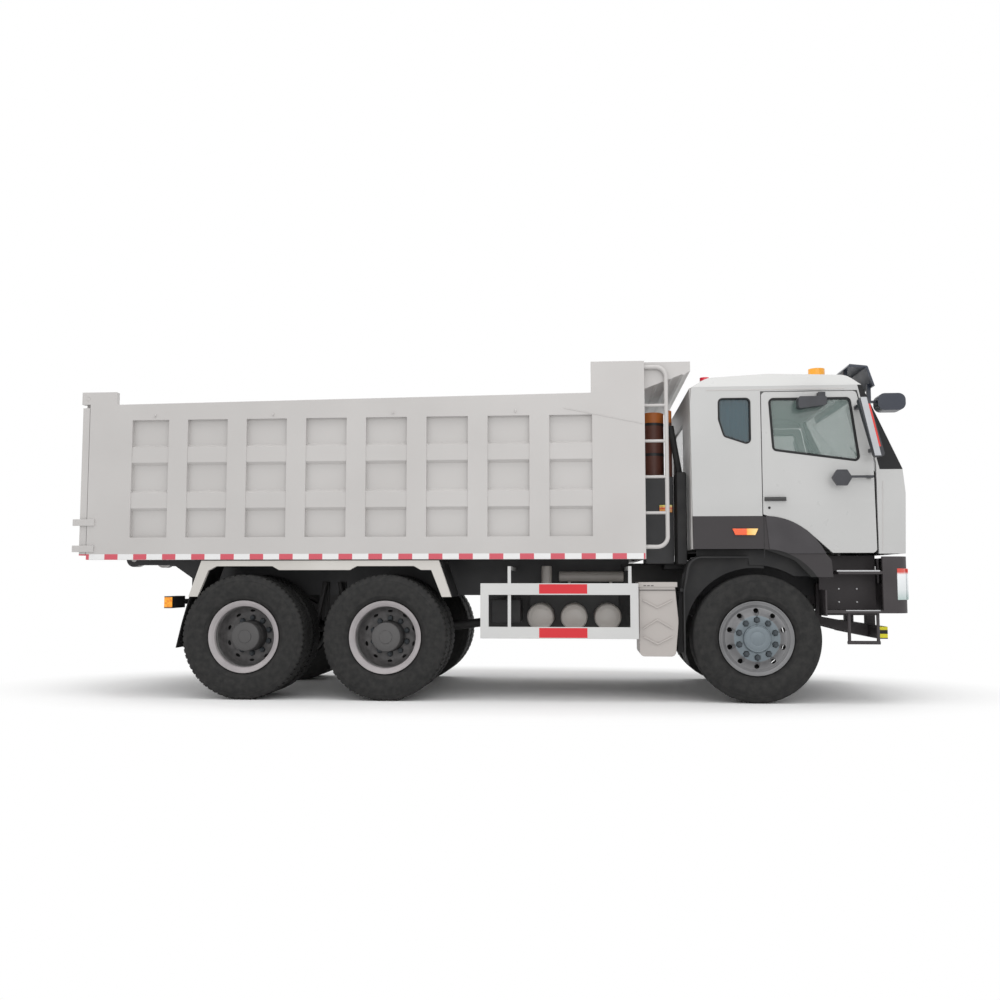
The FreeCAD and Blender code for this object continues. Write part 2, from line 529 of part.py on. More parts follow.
    ("mirror_arm", 20, "bars that carry the mirrors"),
    ("mirror_reach", 140, "inner face of the mirrors outside the door"),
    ("mirror_thickness", 70, "thickness of the tall mirror"),
    ("mirror_set_back", 44, "tall mirror behind the door's front edge"),
    ("mirror_width", 92, "tall mirror seen from the side"),
    ("mirror_low", 2180, "lower end of the tall mirror"),
    ("mirror_high", 2710, "upper end of the tall mirror"),
    ("kerb_mirror_x", 2860, "rear end of the kerb mirror"),
    ("kerb_mirror_long", 250, "length of the kerb mirror"),
    ("kerb_mirror_tall", 110, "height of the kerb mirror"),
    ("kerb_mirror_drop", 68, "kerb mirror under the door's upper edge"),
    ("low_mirror_x", 3230, "middle of the six-sided mirror"),
    ("low_mirror_z", 2008, "middle of the six-sided mirror"),
    ("low_mirror_wide", 88, "half the width of the six-sided mirror"),
    ("low_mirror_tall", 70, "half the height of the six-sided mirror"),
    ("low_mirror_reach", 80, "six-sided mirror outside the door"),
    ("flare_high_z", 1676, "top of the flare behind the door's lower edge"),
    ("flare_knee_x", 2917, "bend of the flare"),
    ("flare_knee_z", 1546, "bend of the flare"),
    ("flare_front_x", 3147, "front of the flare under the door"),
    ("flare_tip_x", 3160, "lower front end of the flare"),
    ("flare_tip_z", 1126, "lower front end of the flare"),
    ("flare_in_tip_x", 2968, "inside of the flare, lower end"),
    ("flare_in_knee_x", 2823, "inside of the flare, bend"),
    ("flare_in_knee_z", 1278, "inside of the flare, bend"),
    ("flare_in_rear_x", 2561, "inside of the flare, rear"),
    ("flare_round", 150, "rounding of the flare's inner bend"),
    ("flare_edge_round", 120, "rounding of the flare's outer bend"),
    ("flare_step", 60, "flare under the door's lower edge"),
    ("flare_tip_round", 40, "rounding of the flare's front corner"),
]


class Size:
    """A number with the sheet formula that gives it."""

    def __init__(self, number, formula):
        self.number = number
        self.formula = formula

    def __add__(self, other):
        return joined_size(self, other, "+")

    def __radd__(self, other):
        return joined_size(other, self, "+")

    def __sub__(self, other):
        return joined_size(self, other, "-")

    def __rsub__(self, other):
        return joined_size(other, self, "-")

    def __mul__(self, other):
        return joined_size(self, other, "*")

    def __rmul__(self, other):
        return joined_size(other, self, "*")

    def __truediv__(self, other):
        return joined_size(self, other, "/")

    def __neg__(self):
        return joined_size(0, self, "-")


OPERATIONS = {"+": operator.add, "-": operator.sub, "*": operator.mul, "/": operator.truediv}


def as_size(value):
    return value if isinstance(value, Size) else Size(value, repr(value))


def joined_size(left, right, sign):
    left, right = as_size(left), as_size(right)
    number = OPERATIONS[sign](left.number, right.number)
    return Size(number, f"({left.formula} {sign} {right.formula})")


class Dimensions:
    """Each driving dimension by its name."""


d = Dimensions()
for row, (alias, number, meaning) in enumerate(DIMENSIONS, start=1):
    sheet.set(f"A{row}", meaning)
    sheet.set(f"B{row}", str(number))
    sheet.setAlias(f"B{row}", alias)
    setattr(d, alias, Size(number, f"Dims.{alias}"))
doc.recompute()

first_driven_x = d.front_axle_x - d.front_wheelbase
rear_axle_x = first_driven_x - d.bogie_spacing


# ---------------------------------------------------------------- ways of making pieces

TURNS = {
    "x": FreeCAD.Rotation(Vector(0, 1, 0), 90),
    "y": FreeCAD.Rotation(Vector(1, 0, 0), -90),
    "z": FreeCAD.Rotation(),
}
PLANES = {"XY": ("z", 1), "XZ": ("y", -1), "YZ": ("x", 1)}


def bind(thing, prop, value):
    thing.setExpression(prop, as_size(value).formula)


def place(thing, x=0, y=0, z=0):
    for axis, value in zip("xyz", (x, y, z)):
        bind(thing, f".Placement.Base.{axis}", value)
    return thing


def block(name, x, y, z):
    """A box between (low, high) pairs along each axis."""
    box = doc.addObject("Part::Box", name)
    for prop, (low, high) in zip(("Length", "Width", "Height"), (x, y, z)):
        bind(box, prop, high - low)
    return place(box, x[0], y[0], z[0])


def rod(name, axis, radius, ends, x=0, y=0, z=0):
    """A round bar along one axis; its ends are a (low, high) pair on that axis."""
    bar = doc.addObject("Part::Cylinder", name)
    bar.Placement.Rotation = TURNS[axis]
    bind(bar, "Radius", radius)
    bind(bar, "Height", ends[1] - ends[0])
    at = {"x": x, "y": y, "z": z}
    at[axis] = ends[0]
    return place(bar, **at)


def draw_outline(sketch, corners, closed=True):
    """Draw a bound outline; a corner is (across, up) or (across, up, rounding)."""
    count = len(corners)
    marks = []
    for corner in corners:
        across, up = as_size(corner[0]), as_size(corner[1])
        mark = sketch.addGeometry(Part.Point(Vector(across.number, up.number, 0)), True)
        for kind, value in (("DistanceX", across), ("DistanceY", up)):
            index = sketch.addConstraint(Sketcher.Constraint(kind, mark, 1, value.number))
            bind(sketch, f"Constraints[{index}]", value)
        marks.append(mark)
    points = [Vector(as_size(c[0]).number, as_size(c[1]).number, 0) for c in corners]
    rounded = [len(c) > 2 for c in corners]
    cuts = []
    for i, point in enumerate(points):
        before, after = points[i - 1] - point, points[(i + 1) % count] - point
        if rounded[i]:
            half = before.getAngle(after) / 2
            reach = as_size(corners[i][2]).number / math.tan(half)
            before, after = before.normalize() * reach, after.normalize() * reach
            cuts.append((point + before, point + after))
        else:
            cuts.append((point, point))
    lines = []
    for i in range(count if closed else count - 1):
        start, end = cuts[i][1], cuts[(i + 1) % count][0]
        lines.append(sketch.addGeometry(Part.LineSegment(start, end), False))
    for i in range(count):
        if not closed and i in (0, count - 1):
            line, end = (lines[0], 1) if i == 0 else (lines[-1], 2)
            sketch.addConstraint(Sketcher.Constraint("Coincident", line, end, marks[i], 1))
            continue
        incoming, outgoing = lines[i - 1], lines[i % len(lines)]
        if not rounded[i]:
            sketch.addConstraint(Sketcher.Constraint("Coincident", incoming, 2, marks[i], 1))
            sketch.addConstraint(Sketcher.Constraint("Coincident", outgoing, 1, marks[i], 1))
            continue
        draw_rounding(sketch, points[i], cuts[i], marks[i], (incoming, outgoing), corners[i][2])


def draw_rounding(sketch, corner, ends, mark, lines, radius):
    """Join two lines by an arc that touches both, of a bound radius."""
    start, end = ends
    reach = (start - corner).Length
    middle = (start + end) * 0.5 - corner
    centre = corner + middle.normalize() * (reach / math.cos(middle.getAngle(start - corner)))
    turn = (start - centre).cross(end - centre).z
    first, last = (start, end) if turn > 0 else (end, start)
    angles = [math.atan2((p - centre).y, (p - centre).x) for p in (first, last)]
    circle = Part.Circle(centre, Vector(0, 0, 1), as_size(radius).number)
    arc = sketch.addGeometry(Part.ArcOfCircle(circle, angles[0], angles[1]), False)
    at_start, at_end = (1, 2) if turn > 0 else (2, 1)
    sketch.addConstraint(Sketcher.Constraint("Tangent", lines[0], 2, arc, at_start))
    sketch.addConstraint(Sketcher.Constraint("Tangent", arc, at_end, lines[1], 1))
    sketch.addConstraint(Sketcher.Constraint("PointOnObject", mark, 1, lines[0]))
    sketch.addConstraint(Sketcher.Constraint("PointOnObject", mark, 1, lines[1]))
    index = sketch.addConstraint(Sketcher.Constraint("Radius", arc, as_size(radius).number))
    bind(sketch, f"Constraints[{index}]", radius)


def new_sketch(body, name, plane):
    sketch = body.newObject("Sketcher::SketchObject", name)
    origin = [f for f in body.Origin.OriginFeatures if f.Role == f"{plane}_Plane"][0]
    sketch.AttachmentSupport = [(origin, "")]
    sketch.MapMode = "FlatFace"
    return sketch


def plate(name, plane, outlines, ends):
    """Pad a bound outline, less any further outlines, between two places on its normal."""
    body = doc.addObject("PartDesign::Body", name)
    sketch = new_sketch(body, name + "Outline", plane)
    for outline in outlines:
        draw_outline(sketch, outline)
    pad = body.newObject("PartDesign::Pad", name + "Pad")
    pad.Profile = sketch
    bind(pad, "Length", ends[1] - ends[0])
    axis, sense = PLANES[plane]
    pad.Reversed = sense < 0
    return place(body, **{axis: ends[0]})


def turned(name, outline, x, z, side=1):
    """Turn an outline of (radius, distance outward) corners about a cross axis."""
    body = doc.addObject("PartDesign::Body", name)
    sketch = new_sketch(body, name + "Outline", "XY")
    draw_outline(sketch, outline)
    turn = body.newObject("PartDesign::Revolution", name + "Turn")
    turn.Profile = sketch
    turn.ReferenceAxis = (sketch, ["V_Axis"])
    turn.Angle = 360
    if side < 0:
        body.Placement.Rotation = FreeCAD.Rotation(Vector(0, 0, 1), 180)
    return place(body, x=x, z=z)


def bent_tube(name, corners, radius, y):
    """A tube of which the first run leaves along X, in an upright plane across Y."""
    body = doc.addObject("PartDesign::Body", name)
    path = new_sketch(body, name + "Path", "XZ")
    draw_outline(path, corners, closed=False)
    ring = new_sketch(body, name + "Ring", "YZ")
    ring.setExpression(".AttachmentOffset.Base.z", as_size(corners[0][0]).formula)
    centre = Vector(0, as_size(corners[0][1]).number, 0)
    circle = ring.addGeometry(Part.Circle(centre, Vector(0, 0, 1), as_size(radius).number), False)
    ring.addConstraint(Sketcher.Constraint("PointOnObject", circle, 3, -2))
    high = ring.addConstraint(Sketcher.Constraint("DistanceY", circle, 3, centre.y))
    bind(ring, f"Constraints[{high}]", corners[0][1])
    wide = ring.addConstraint(Sketcher.Constraint("Radius", circle, as_size(radius).number))
    bind(ring, f"Constraints[{wide}]", radius)
    pipe = body.newObject("PartDesign::AdditivePipe", name + "Pipe")
    pipe.Profile = ring
    pipe.Spine = (path, [])
    return place(body, y=y)


def fused(name, things):
    whole = doc.addObject("Part::MultiFuse", name)
    whole.Shapes = things
    whole.Refine = True
    return whole


def less(name, thing, tools):
    tool = tools[0] if len(tools) == 1 else fused(name + "Tools", tools)
    rest = doc.addObject("Part::Cut", name)
    rest.Base = thing
    rest.Tool = tool
    rest.Refine = True
    return rest


def mirrored(name, thing):
    """The same piece on the truck's other side."""
    twin = doc.addObject("Part::Mirroring", name)
    twin.Source = thing
    twin.Normal = Vector(0, 1, 0)
    return twin


def both_sides(name, thing):
    return [thing, mirrored(name + "Mirrored", thing)]


def grouped(name, things):
    """Like pieces that don't touch, kept in one node."""
    group = doc.addObject("Part::Compound", name)
    group.Links = things
    return group


nodes = []


def keep(label, thing):
    thing.Label = label
    nodes.append(thing)
    return thing


# ---------------------------------------------------------------- wheels

def tyre_outline(middle):
    """Section of a tyre: (radius, distance outward), round the rim."""
    half = d.tyre_width / 2
    bead = d.rim_half - d.flange_width - d.fit_gap
    inside = d.rim_radius + d.fit_gap
    return [
        (inside, middle - bead),
        (d.wall_bulge_radius, middle - half),
        (d.tyre_radius - d.shoulder_drop, middle - half + d.shoulder_drop / 2),
        (d.tyre_radius, middle - d.tread_half),
        (d.tyre_radius, middle + d.tread_half),
        (d.tyre_radius - d.shoulder_drop, middle + half - d.shoulder_drop / 2),
        (d.wall_bulge_radius, middle + half),
        (inside, middle + bead),
    ]


def rim_step(middle):
    """Outside of a rim from its inboard flange to its outboard one."""
    low, high = middle - d.rim_half, middle + d.rim_half
    return [
        (d.flange_radius, low),
        (d.flange_radius, low + d.flange_width - d.rim_wall * 0.6),
        (d.rim_radius, low + d.flange_width - d.fit_gap * 2),
        (d.rim_radius, high - d.flange_width + d.fit_gap * 2),
        (d.flange_radius, high - d.flange_width + d.rim_wall * 0.6),
        (d.flange_radius, high),
    ]


def hand_hole_tools(name, x, ends):
    """Round bars for the ring of hand holes, between two places on the axle."""
    tools = []
    for index in range(d.hand_holes.number):
        turn = 2 * math.pi * index / d.hand_holes.number
        tools.append(rod(f"{name}{index}", "y", d.hand_hole_radius, ends,
                         x=x + d.hand_hole_circle * math.sin(turn),
                         z=d.tyre_radius + d.hand_hole_circle * math.cos(turn)))
    return tools


def front_wheel(name):
    """Steered wheel: drum, hub, cap and outset disc in the rim, pierced for a hand."""
    middle = d.front_tyre_y
    rim_inside = d.rim_radius - d.rim_wall
    low, high = middle - d.rim_half, middle + d.rim_half
    drum_in = d.knuckle_web_out + d.running_gap
    face, root = high + d.disc_rise, high - d.disc_set_in
    outline = [
        (d.spindle_radius + d.fit_gap, drum_in),
        (d.drum_radius, drum_in),
        (d.drum_radius, root - d.disc_plate * 1.5),
        (rim_inside, root - d.disc_plate),
        (rim_inside, low),
    ]
    outline += rim_step(middle)
    outline += [
        (rim_inside, high),
        (rim_inside, root),
        (d.nut_face_radius, face),
        (d.hub_cap_radius, face),
        (d.hub_cap_radius, face + d.hub_cap_rise),
        (0, face + d.hub_cap_rise),
        (0, face - d.hub_bore_depth),
        (d.spindle_radius + d.fit_gap, face - d.hub_bore_depth),
    ]
    wheel = turned(name, outline, d.front_axle_x, d.tyre_radius)
    return less(name + "Pierced", wheel, hand_hole_tools(name + "Hole", d.front_axle_x, (drum_in, face)))


def twin_wheel(name, x):
    """Driven wheel pair: two dished rims bolted back to back on one drum and hub."""
    rim_inside = d.rim_radius - d.rim_wall
    low, high = d.twin_inner_y - d.rim_half, d.twin_outer_y + d.rim_half
    seam = (d.twin_inner_y + d.twin_outer_y) / 2
    root, hub_end = seam + d.dish_slope + d.disc_plate, high - d.twin_hub_inset
    drum_in = low + d.disc_plate
    outline = [
        (hub_bore, drum_in),
        (d.drum_radius, drum_in),
        (d.drum_radius, seam - d.disc_plate * 2),
        (rim_inside, seam - d.dish_slope - d.disc_plate),
        (rim_inside, low),
    ]
    outline += rim_step(d.twin_inner_y)
    outline += [
        (d.rim_radius, seam - d.dish_slope),
        (d.nut_face_radius, seam - d.disc_plate),
        (d.nut_face_radius, seam + d.disc_plate),
        (d.rim_radius, seam + d.dish_slope),
    ]
    outline += rim_step(d.twin_outer_y)
    outline += [
        (rim_inside, high),
        (rim_inside, root),
        (d.nut_face_radius, seam + d.disc_plate * 2),
        (d.twin_hub_radius, seam + d.disc_plate * 2),
        (d.twin_hub_radius, hub_end),
        (0, hub_end),
        (0, seam + d.dish_slope),
        (hub_bore, seam + d.dish_slope),
    ]
    wheel = turned(name, outline, x, d.tyre_radius)
    return less(name + "Pierced", wheel, hand_hole_tools(name + "Hole", x, (seam - d.dish_slope * 2, root)))


hub_bore = d.twin_spindle_radius + d.fit_gap
wheel = keep("front_wheel_left", front_wheel("FrontWheel"))
keep("front_wheel_right", mirrored("FrontWheelRight", wheel))
tyre = keep("front_tyre_left", turned("FrontTyre", tyre_outline(d.front_tyre_y), d.front_axle_x, d.tyre_radius))
keep("front_tyre_right", mirrored("FrontTyreRight", tyre))
for axle, x in (("middle", first_driven_x), ("rear", rear_axle_x)):
    wheel = keep(f"twin_wheel_{axle}_left", twin_wheel("TwinWheel" + axle, x))
    keep(f"twin_wheel_{axle}_right", mirrored(f"TwinWheel{axle}Right", wheel))
    pair = [
        turned(f"Tyre{axle}{index}", tyre_outline(y), x, d.tyre_radius)
        for index, y in enumerate((d.twin_inner_y, d.twin_outer_y))
    ]
    tyres = keep(f"twin_tyres_{axle}_left", grouped("TwinTyres" + axle, pair))
    keep(f"twin_tyres_{axle}_right", mirrored(f"TwinTyres{axle}Right", tyres))


# ---------------------------------------------------------------- steered axle and knuckles

axle_z = d.tyre_radius


def beam_end(name):
    """One half of the dropped axle beam, out to the eye round the kingpin."""
    low = axle_z - d.beam_drop - d.beam_half_depth
    high = axle_z - d.beam_drop + d.beam_half_depth
    outline = [
        (0, low),
        (d.beam_knee_y, low),
        (d.kingpin_y - d.eye_radius, axle_z - d.eye_half + d.beam_pad),
        (d.kingpin_y, axle_z - d.eye_half + d.beam_pad),
        (d.kingpin_y, axle_z + d.eye_half - d.beam_pad),
        (d.kingpin_y - d.eye_radius, axle_z + d.eye_half - d.beam_pad),
        (d.beam_knee_y, high),
        (0, high),
    ]
    web = plate(name + "Web", "YZ", [outline], (d.front_axle_x - d.beam_half_width,
                                                d.front_axle_x + d.beam_half_width))
    eye = rod(name + "Eye", "z", d.eye_radius, (axle_z - d.eye_half, axle_z + d.eye_half),
              x=d.front_axle_x, y=d.kingpin_y)
    bore = rod(name + "Bore", "z", d.kingpin_radius + d.fit_gap,
               (axle_z - d.kingpin_half, axle_z + d.kingpin_half), x=d.front_axle_x, y=d.kingpin_y)
    whole = fused(name + "Solid", [web, eye])
    return less(name, whole, [bore])


beam = beam_end("BeamEnd")
keep("front_axle", fused("FrontAxle", both_sides("BeamEnd", beam)))


def knuckle(name):
    """Yoke over the beam's eye, with the kingpin, stub axle and steering arm."""
    arm_low = axle_z + d.eye_half + d.running_gap
    arm_high = axle_z + d.kingpin_half
    pin = rod(name + "Pin", "z", d.kingpin_radius,
              (axle_z - d.kingpin_half, axle_z + d.kingpin_half), x=d.front_axle_x, y=d.kingpin_y)
    pieces = [pin]
    for index, (low, high) in enumerate(
        ((arm_low, arm_high), (axle_z - d.kingpin_half, axle_z - d.eye_half - d.running_gap))
    ):
        boss = rod(f"{name}Boss{index}", "z", d.eye_radius, (low, high), x=d.front_axle_x, y=d.kingpin_y)
        arm = block(f"{name}Arm{index}",
                    (d.front_axle_x - d.eye_radius, d.front_axle_x + d.eye_radius),
                    (d.kingpin_y, d.knuckle_web_out), (low, high))
        pieces += [boss, arm]
    web = block(name + "Web", (d.front_axle_x - d.knuckle_web_half, d.front_axle_x + d.knuckle_web_half),
                (d.knuckle_web_in, d.knuckle_web_out),
                (axle_z - d.kingpin_half, axle_z + d.kingpin_half))
    stub = rod(name + "Stub", "y", d.spindle_radius, (d.knuckle_web_in, d.front_tyre_y + d.stub_reach),
               x=d.front_axle_x, z=axle_z)
    low = axle_z - d.kingpin_half
    half = d.steer_arm_plate
    steering_arm = plate(name + "SteeringArm", "XY", [[
        (d.front_axle_x - d.steer_arm_reach, d.steer_arm_y - half, half / 2),
        (d.front_axle_x, d.kingpin_y - half),
        (d.front_axle_x, d.kingpin_y + half),
        (d.front_axle_x - d.steer_arm_reach, d.steer_arm_y + half, half / 2),
    ]], (low, low + d.steer_arm_plate))
    bore = rod(name + "ArmBore", "z", d.tie_rod_pin + d.fit_gap,
               (low - d.overlap, low + d.steer_arm_plate + d.overlap),
               x=rod_x, y=d.steer_arm_y)
    pieces += [web, stub, less(name + "BoredArm", steering_arm, [bore])]
    return fused(name, pieces)


def tie_rod(name):
    """Rod across under both steering arms, its upright pin in the left-hand one."""
    bar = rod(name + "Bar", "y", d.tie_rod_radius, (-d.steer_arm_y, d.steer_arm_y), x=rod_x, z=rod_z)
    pin = rod(name + "Pin", "z", d.tie_rod_pin, (rod_z, axle_z - d.kingpin_half + d.steer_arm_plate),
              x=rod_x, y=d.steer_arm_y)
    return fused(name, [bar, pin])


rod_x = d.front_axle_x - d.steer_arm_reach + d.tie_rod_set_in
rod_z = axle_z - d.kingpin_half - d.running_gap - d.tie_rod_radius
left_knuckle = keep("knuckle_left", knuckle("Knuckle"))
keep("knuckle_right", mirrored("KnuckleRight", left_knuckle))
keep("tie_rod", tie_rod("TieRod"))


# ---------------------------------------------------------------- driven axles and springs

def driven_axle(name, x):
    """Tube with its final drive, a spindle at each end and a flange before and behind."""
    tube_end = d.twin_inner_y - d.rim_half
    spindle_end = d.twin_inner_y + d.twin_spindle_reach
    high = axle_z + d.axle_nose_rise
    return fused(name, [
        rod(name + "Tube", "y", d.axle_tube_radius, (-tube_end, tube_end), x=x, z=axle_z),
        rod(name + "Spindle", "y", d.twin_spindle_radius, (-spindle_end, spindle_end), x=x, z=axle_z),
        rod(name + "Banjo", "x", d.banjo_radius, (x - d.banjo_rear, x + d.banjo_front), z=axle_z),
        rod(name + "Nose", "x", d.axle_nose_radius, (x + d.banjo_front, x + d.axle_nose), z=high),
        rod(name + "Tail", "x", d.axle_tail_radius, (x - d.axle_nose, x - d.banjo_rear), z=high),
    ])


keep("driven_axles", grouped("DrivenAxles", [driven_axle("AxleMiddle", first_driven_x),
                                             driven_axle("AxleRear", rear_axle_x)]))

spring_in = d.rail_in + d.overlap
spring_out = d.rail_out
bogie_x = (rear_axle_x + first_driven_x) / 2
tube_top = axle_z + d.axle_tube_radius


def front_spring(name):
    """Leaf pack on the beam, its ends in hangers under the rail."""
    x, half, seat = d.front_axle_x, d.spring_half, d.spring_seat_half
    seat_z = axle_z - d.beam_drop + d.beam_half_depth
    leaves = [
        (x - half, d.spring_eye_z), (x - half / 2, d.spring_bend_z), (x - seat * 1.5, d.spring_pack_z),
        (x - seat, seat_z), (x + seat, seat_z),
        (x + seat * 1.5, d.spring_pack_z), (x + half / 2, d.spring_bend_z), (x + half, d.spring_eye_z),
        (x + half, d.spring_eye_z + d.spring_leaf), (x, d.spring_top),
        (x - half, d.spring_eye_z + d.spring_leaf),
    ]
    pack = plate(name + "Leaves", "XZ", [leaves], (spring_in, spring_out))
    reach = half - d.spring_hanger_half / 2
    ends = [
        block(f"{name}Hanger{index}", (at - d.spring_hanger_half, at + d.spring_hanger_half),
              (spring_in, spring_out), (d.spring_eye_z - d.spring_leaf / 2, d.rail_bottom))
        for index, at in enumerate((x - reach, x + reach))
    ]
    return fused(name, [pack] + ends)


def bogie_spring(name):
    """Leaf pack that rests on both driven axles under a saddle between them."""
    rear, front, pad, saddle = rear_axle_x, first_driven_x, d.bogie_pad_half, d.bogie_saddle_half
    leaves = [
        (rear - pad, tube_top), (rear + pad, tube_top),
        (bogie_x - saddle, d.bogie_spring_low), (bogie_x + saddle, d.bogie_spring_low),
        (front - pad, tube_top), (front + pad, tube_top), (front + pad, tube_top + d.bogie_leaf),
        (bogie_x + saddle, d.bogie_spring_high), (bogie_x - saddle, d.bogie_spring_high),
        (rear - pad, tube_top + d.bogie_leaf),
    ]
    pack = plate(name + "Leaves", "XZ", [leaves], (spring_in, spring_out))
    hanger = block(name + "Saddle", (bogie_x - saddle, bogie_x + saddle), (spring_in, spring_out),
                   (d.bogie_spring_high - d.bogie_leaf / 2, d.rail_bottom))
    return fused(name, [pack, hanger])


springs = both_sides("FrontSpring", front_spring("FrontSpring"))
springs += both_sides("BogieSpring", bogie_spring("BogieSpring"))
keep("leaf_springs", grouped("LeafSprings", springs))


# ---------------------------------------------------------------- ladder frame and subframe

def chassis_rail(name):
    """Channel with its web outside, tapered at the tail."""
    outline = [
        (d.rail_tail_x, d.rail_top), (d.rail_taper_x, d.rail_taper_z),
        (d.rail_taper_x, d.rail_bottom), (d.rail_front_x, d.rail_bottom),
        (d.rail_front_x, d.rail_top),
    ]
    solid = plate(name + "Solid", "XZ", [outline], (d.rail_in, d.rail_out))
    hollow = block(name + "Hollow", (d.rail_tail_x - d.overlap, d.rail_front_x + d.overlap),
                   (d.rail_in - d.overlap, d.rail_out - d.rail_web),
                   (d.rail_bottom + d.rail_web, d.rail_top - d.rail_web))
    return less(name, solid, [hollow])


def tow_plate(name):
    """Plate between the rails' tails, drilled for a drawbar coupling."""
    sheet_solid = block(name + "Sheet", (d.tow_plate_x, d.tow_plate_x + d.tow_plate), (-web_face, web_face),
                        (d.rail_bottom + d.rail_web, d.rail_bottom + d.rail_web + d.tow_plate_tall))
    holes = [
        rod(f"{name}Hole{index}", "x", d.tow_hole_radius,
            (d.tow_plate_x - d.overlap, d.tow_plate_x + d.tow_plate + d.overlap),
            y=across * d.tow_spacing_y / 2, z=d.tow_z + up * d.tow_spacing_z / 2)
        for index, (across, up) in enumerate(((-1, -1), (1, -1), (-1, 1), (1, 1)))
    ]
    return less(name, sheet_solid, holes)


web_face = d.rail_out - d.rail_web
members = both_sides("Rail", chassis_rail("Rail"))
cross_places = (d.cross_tail_x, bogie_x, d.cross_middle_x, d.cross_tank_x, d.cross_gearbox_x, d.cross_front_x)
for index, x in enumerate(cross_places):
    members.append(rod(f"CrossMember{index}", "y", d.cross_radius, (-web_face, web_face), x=x,
                       z=d.rail_top - d.rail_web - d.cross_radius - d.cross_drop))
members.append(tow_plate("TowPlate"))


def hoist_cradle(name):
    """Beam behind the hoist's foot with an ear each side of its base pin."""
    x, z, half = d.hoist_x, d.hoist_pin_z, d.cradle_half
    beam_x = x + d.hoist_barrel_radius + d.cradle_room
    cross_beam = block(name + "Beam", (beam_x, beam_x + d.cradle_beam), (-web_face, web_face),
                       (z - half, z + half))
    ends = (d.cradle_ear_in, d.cradle_ear_out)
    arm = block(name + "Arm", (x, beam_x + d.overlap), ends, (z - half, z + half))
    ear = rod(name + "Ear", "y", half, ends, x=x, z=z)
    bore = rod(name + "Bore", "y", d.hoist_pin_radius + d.fit_gap, (ends[0] - d.overlap, ends[1] + d.overlap),
               x=x, z=z)
    bored = less(name + "BoredEar", fused(name + "EarSolid", [arm, ear]), [bore])
    return [cross_beam] + both_sides(name + "BoredEar", bored)


members += hoist_cradle("Cradle")
keep("chassis_frame", fused("ChassisFrame", members))


def subframe_rail(name):
    beam_solid = block(name + "Beam", (d.pivot_x, d.subframe_front_x), (d.rail_in, d.rail_out),
                       (d.rail_top, d.subframe_top))
    lug = rod(name + "Lug", "y", d.pivot_lug_radius, (d.rail_in, d.rail_out), x=d.pivot_x, z=d.pivot_z)
    bore = rod(name + "Bore", "y", d.pivot_radius + d.fit_gap, (d.rail_in - d.overlap, d.rail_out + d.overlap),
               x=d.pivot_x, z=d.pivot_z)
    return less(name, fused(name + "Solid", [beam_solid, lug]), [bore])


ties = both_sides("SubframeRail", subframe_rail("SubframeRail"))
for index, x in enumerate((d.tie_rear_x, d.tie_bogie_x, d.tie_middle_x, d.tie_front_x)):
    ties.append(block(f"SubframeTie{index}", (x - d.tie_half, x + d.tie_half), (-d.rail_in, d.rail_in),
                      (d.rail_top + d.tie_inset, d.subframe_top - d.tie_inset)))
keep("tipping_subframe", fused("TippingSubframe", ties))


# ---------------------------------------------------------------- bed

raised_x = d.bay_front_x - d.rim_step_back


def bed_side(name):
    """Side wall: a plate, a frame round the bays, ribs and two folded stiffeners."""
    outline = [
        (d.bed_rear_x, d.bed_bottom), (d.bed_front_x, d.bed_bottom),
        (d.bed_front_x, d.front_plate_top), (raised_x, d.front_plate_top),
        (raised_x, d.bed_rim_front), (d.bed_rear_x, d.bed_rim_rear),
    ]
    window = [
        (d.bay_rear_x, d.bay_bottom), (d.bay_front_x, d.bay_bottom),
        (d.bay_front_x, d.bay_top), (d.bay_rear_x, d.bay_top),
    ]
    wall = plate(name + "Wall", "XZ", [outline], (d.bed_in, d.bed_panel_out))
    frame = plate(name + "Frame", "XZ", [outline, window], (d.bed_panel_out, d.bed_out))
    pieces = [wall, frame]
    for index in range(d.ribs.number):
        x = d.rib_first_x + d.rib_pitch * index
        pieces.append(block(f"{name}Rib{index}", (x - d.rib_width / 2, x + d.rib_width / 2),
                            (d.bed_panel_out, d.bed_out), (d.bay_bottom, d.bay_top)))
    for index, low in enumerate((d.stiffener_low, d.stiffener_high)):
        high = low + d.stiffener_tall
        fold = [
            (d.bed_panel_out, low), (d.stiffener_out, low + d.stiffener_slope),
            (d.stiffener_out, high - d.stiffener_slope), (d.bed_panel_out, high),
        ]
        pieces.append(plate(f"{name}Stiffener{index}", "YZ", [fold], (d.bay_rear_x, d.bay_front_x)))
    box = block(name + "HingeBox", (d.hinge_box_rear, d.hinge_box_front), (d.bed_in + d.overlap, d.bed_out),
                (d.bed_rim_rear - d.hinge_box_root, d.hinge_box_top))
    bore = rod(name + "HingeBore", "y", d.gate_pin_radius + d.fit_gap, (d.bed_in, d.bed_out + d.overlap),
               x=d.gate_pin_x, z=d.gate_pin_z)
    behind_gate = block(name + "BehindGate", (d.hinge_box_rear - d.overlap, d.bed_rear_x),
                        (d.bed_in - d.overlap, d.bed_out + d.overlap),
                        (d.gate_bottom, d.gate_pin_z - d.hinge_box_under))
    pieces.append(less(name + "Hinge", box, [bore, behind_gate]))
    for index, low in enumerate((d.hook_low_z, d.hook_high_z)):
        pieces.append(block(f"{name}Hook{index}", (d.hook_rear_x, d.hook_front_x),
                            (d.bed_out, d.bed_out + d.hook_plate), (low, low + d.hook_height)))
    return fused(name, pieces)


left_side = keep("bed_side_left", bed_side("BedSide"))
keep("bed_side_right", mirrored("BedSideRight", left_side))

floor_top = d.floor_bottom + d.floor_plate
headboard_x = d.bed_front_x - d.headboard_depth


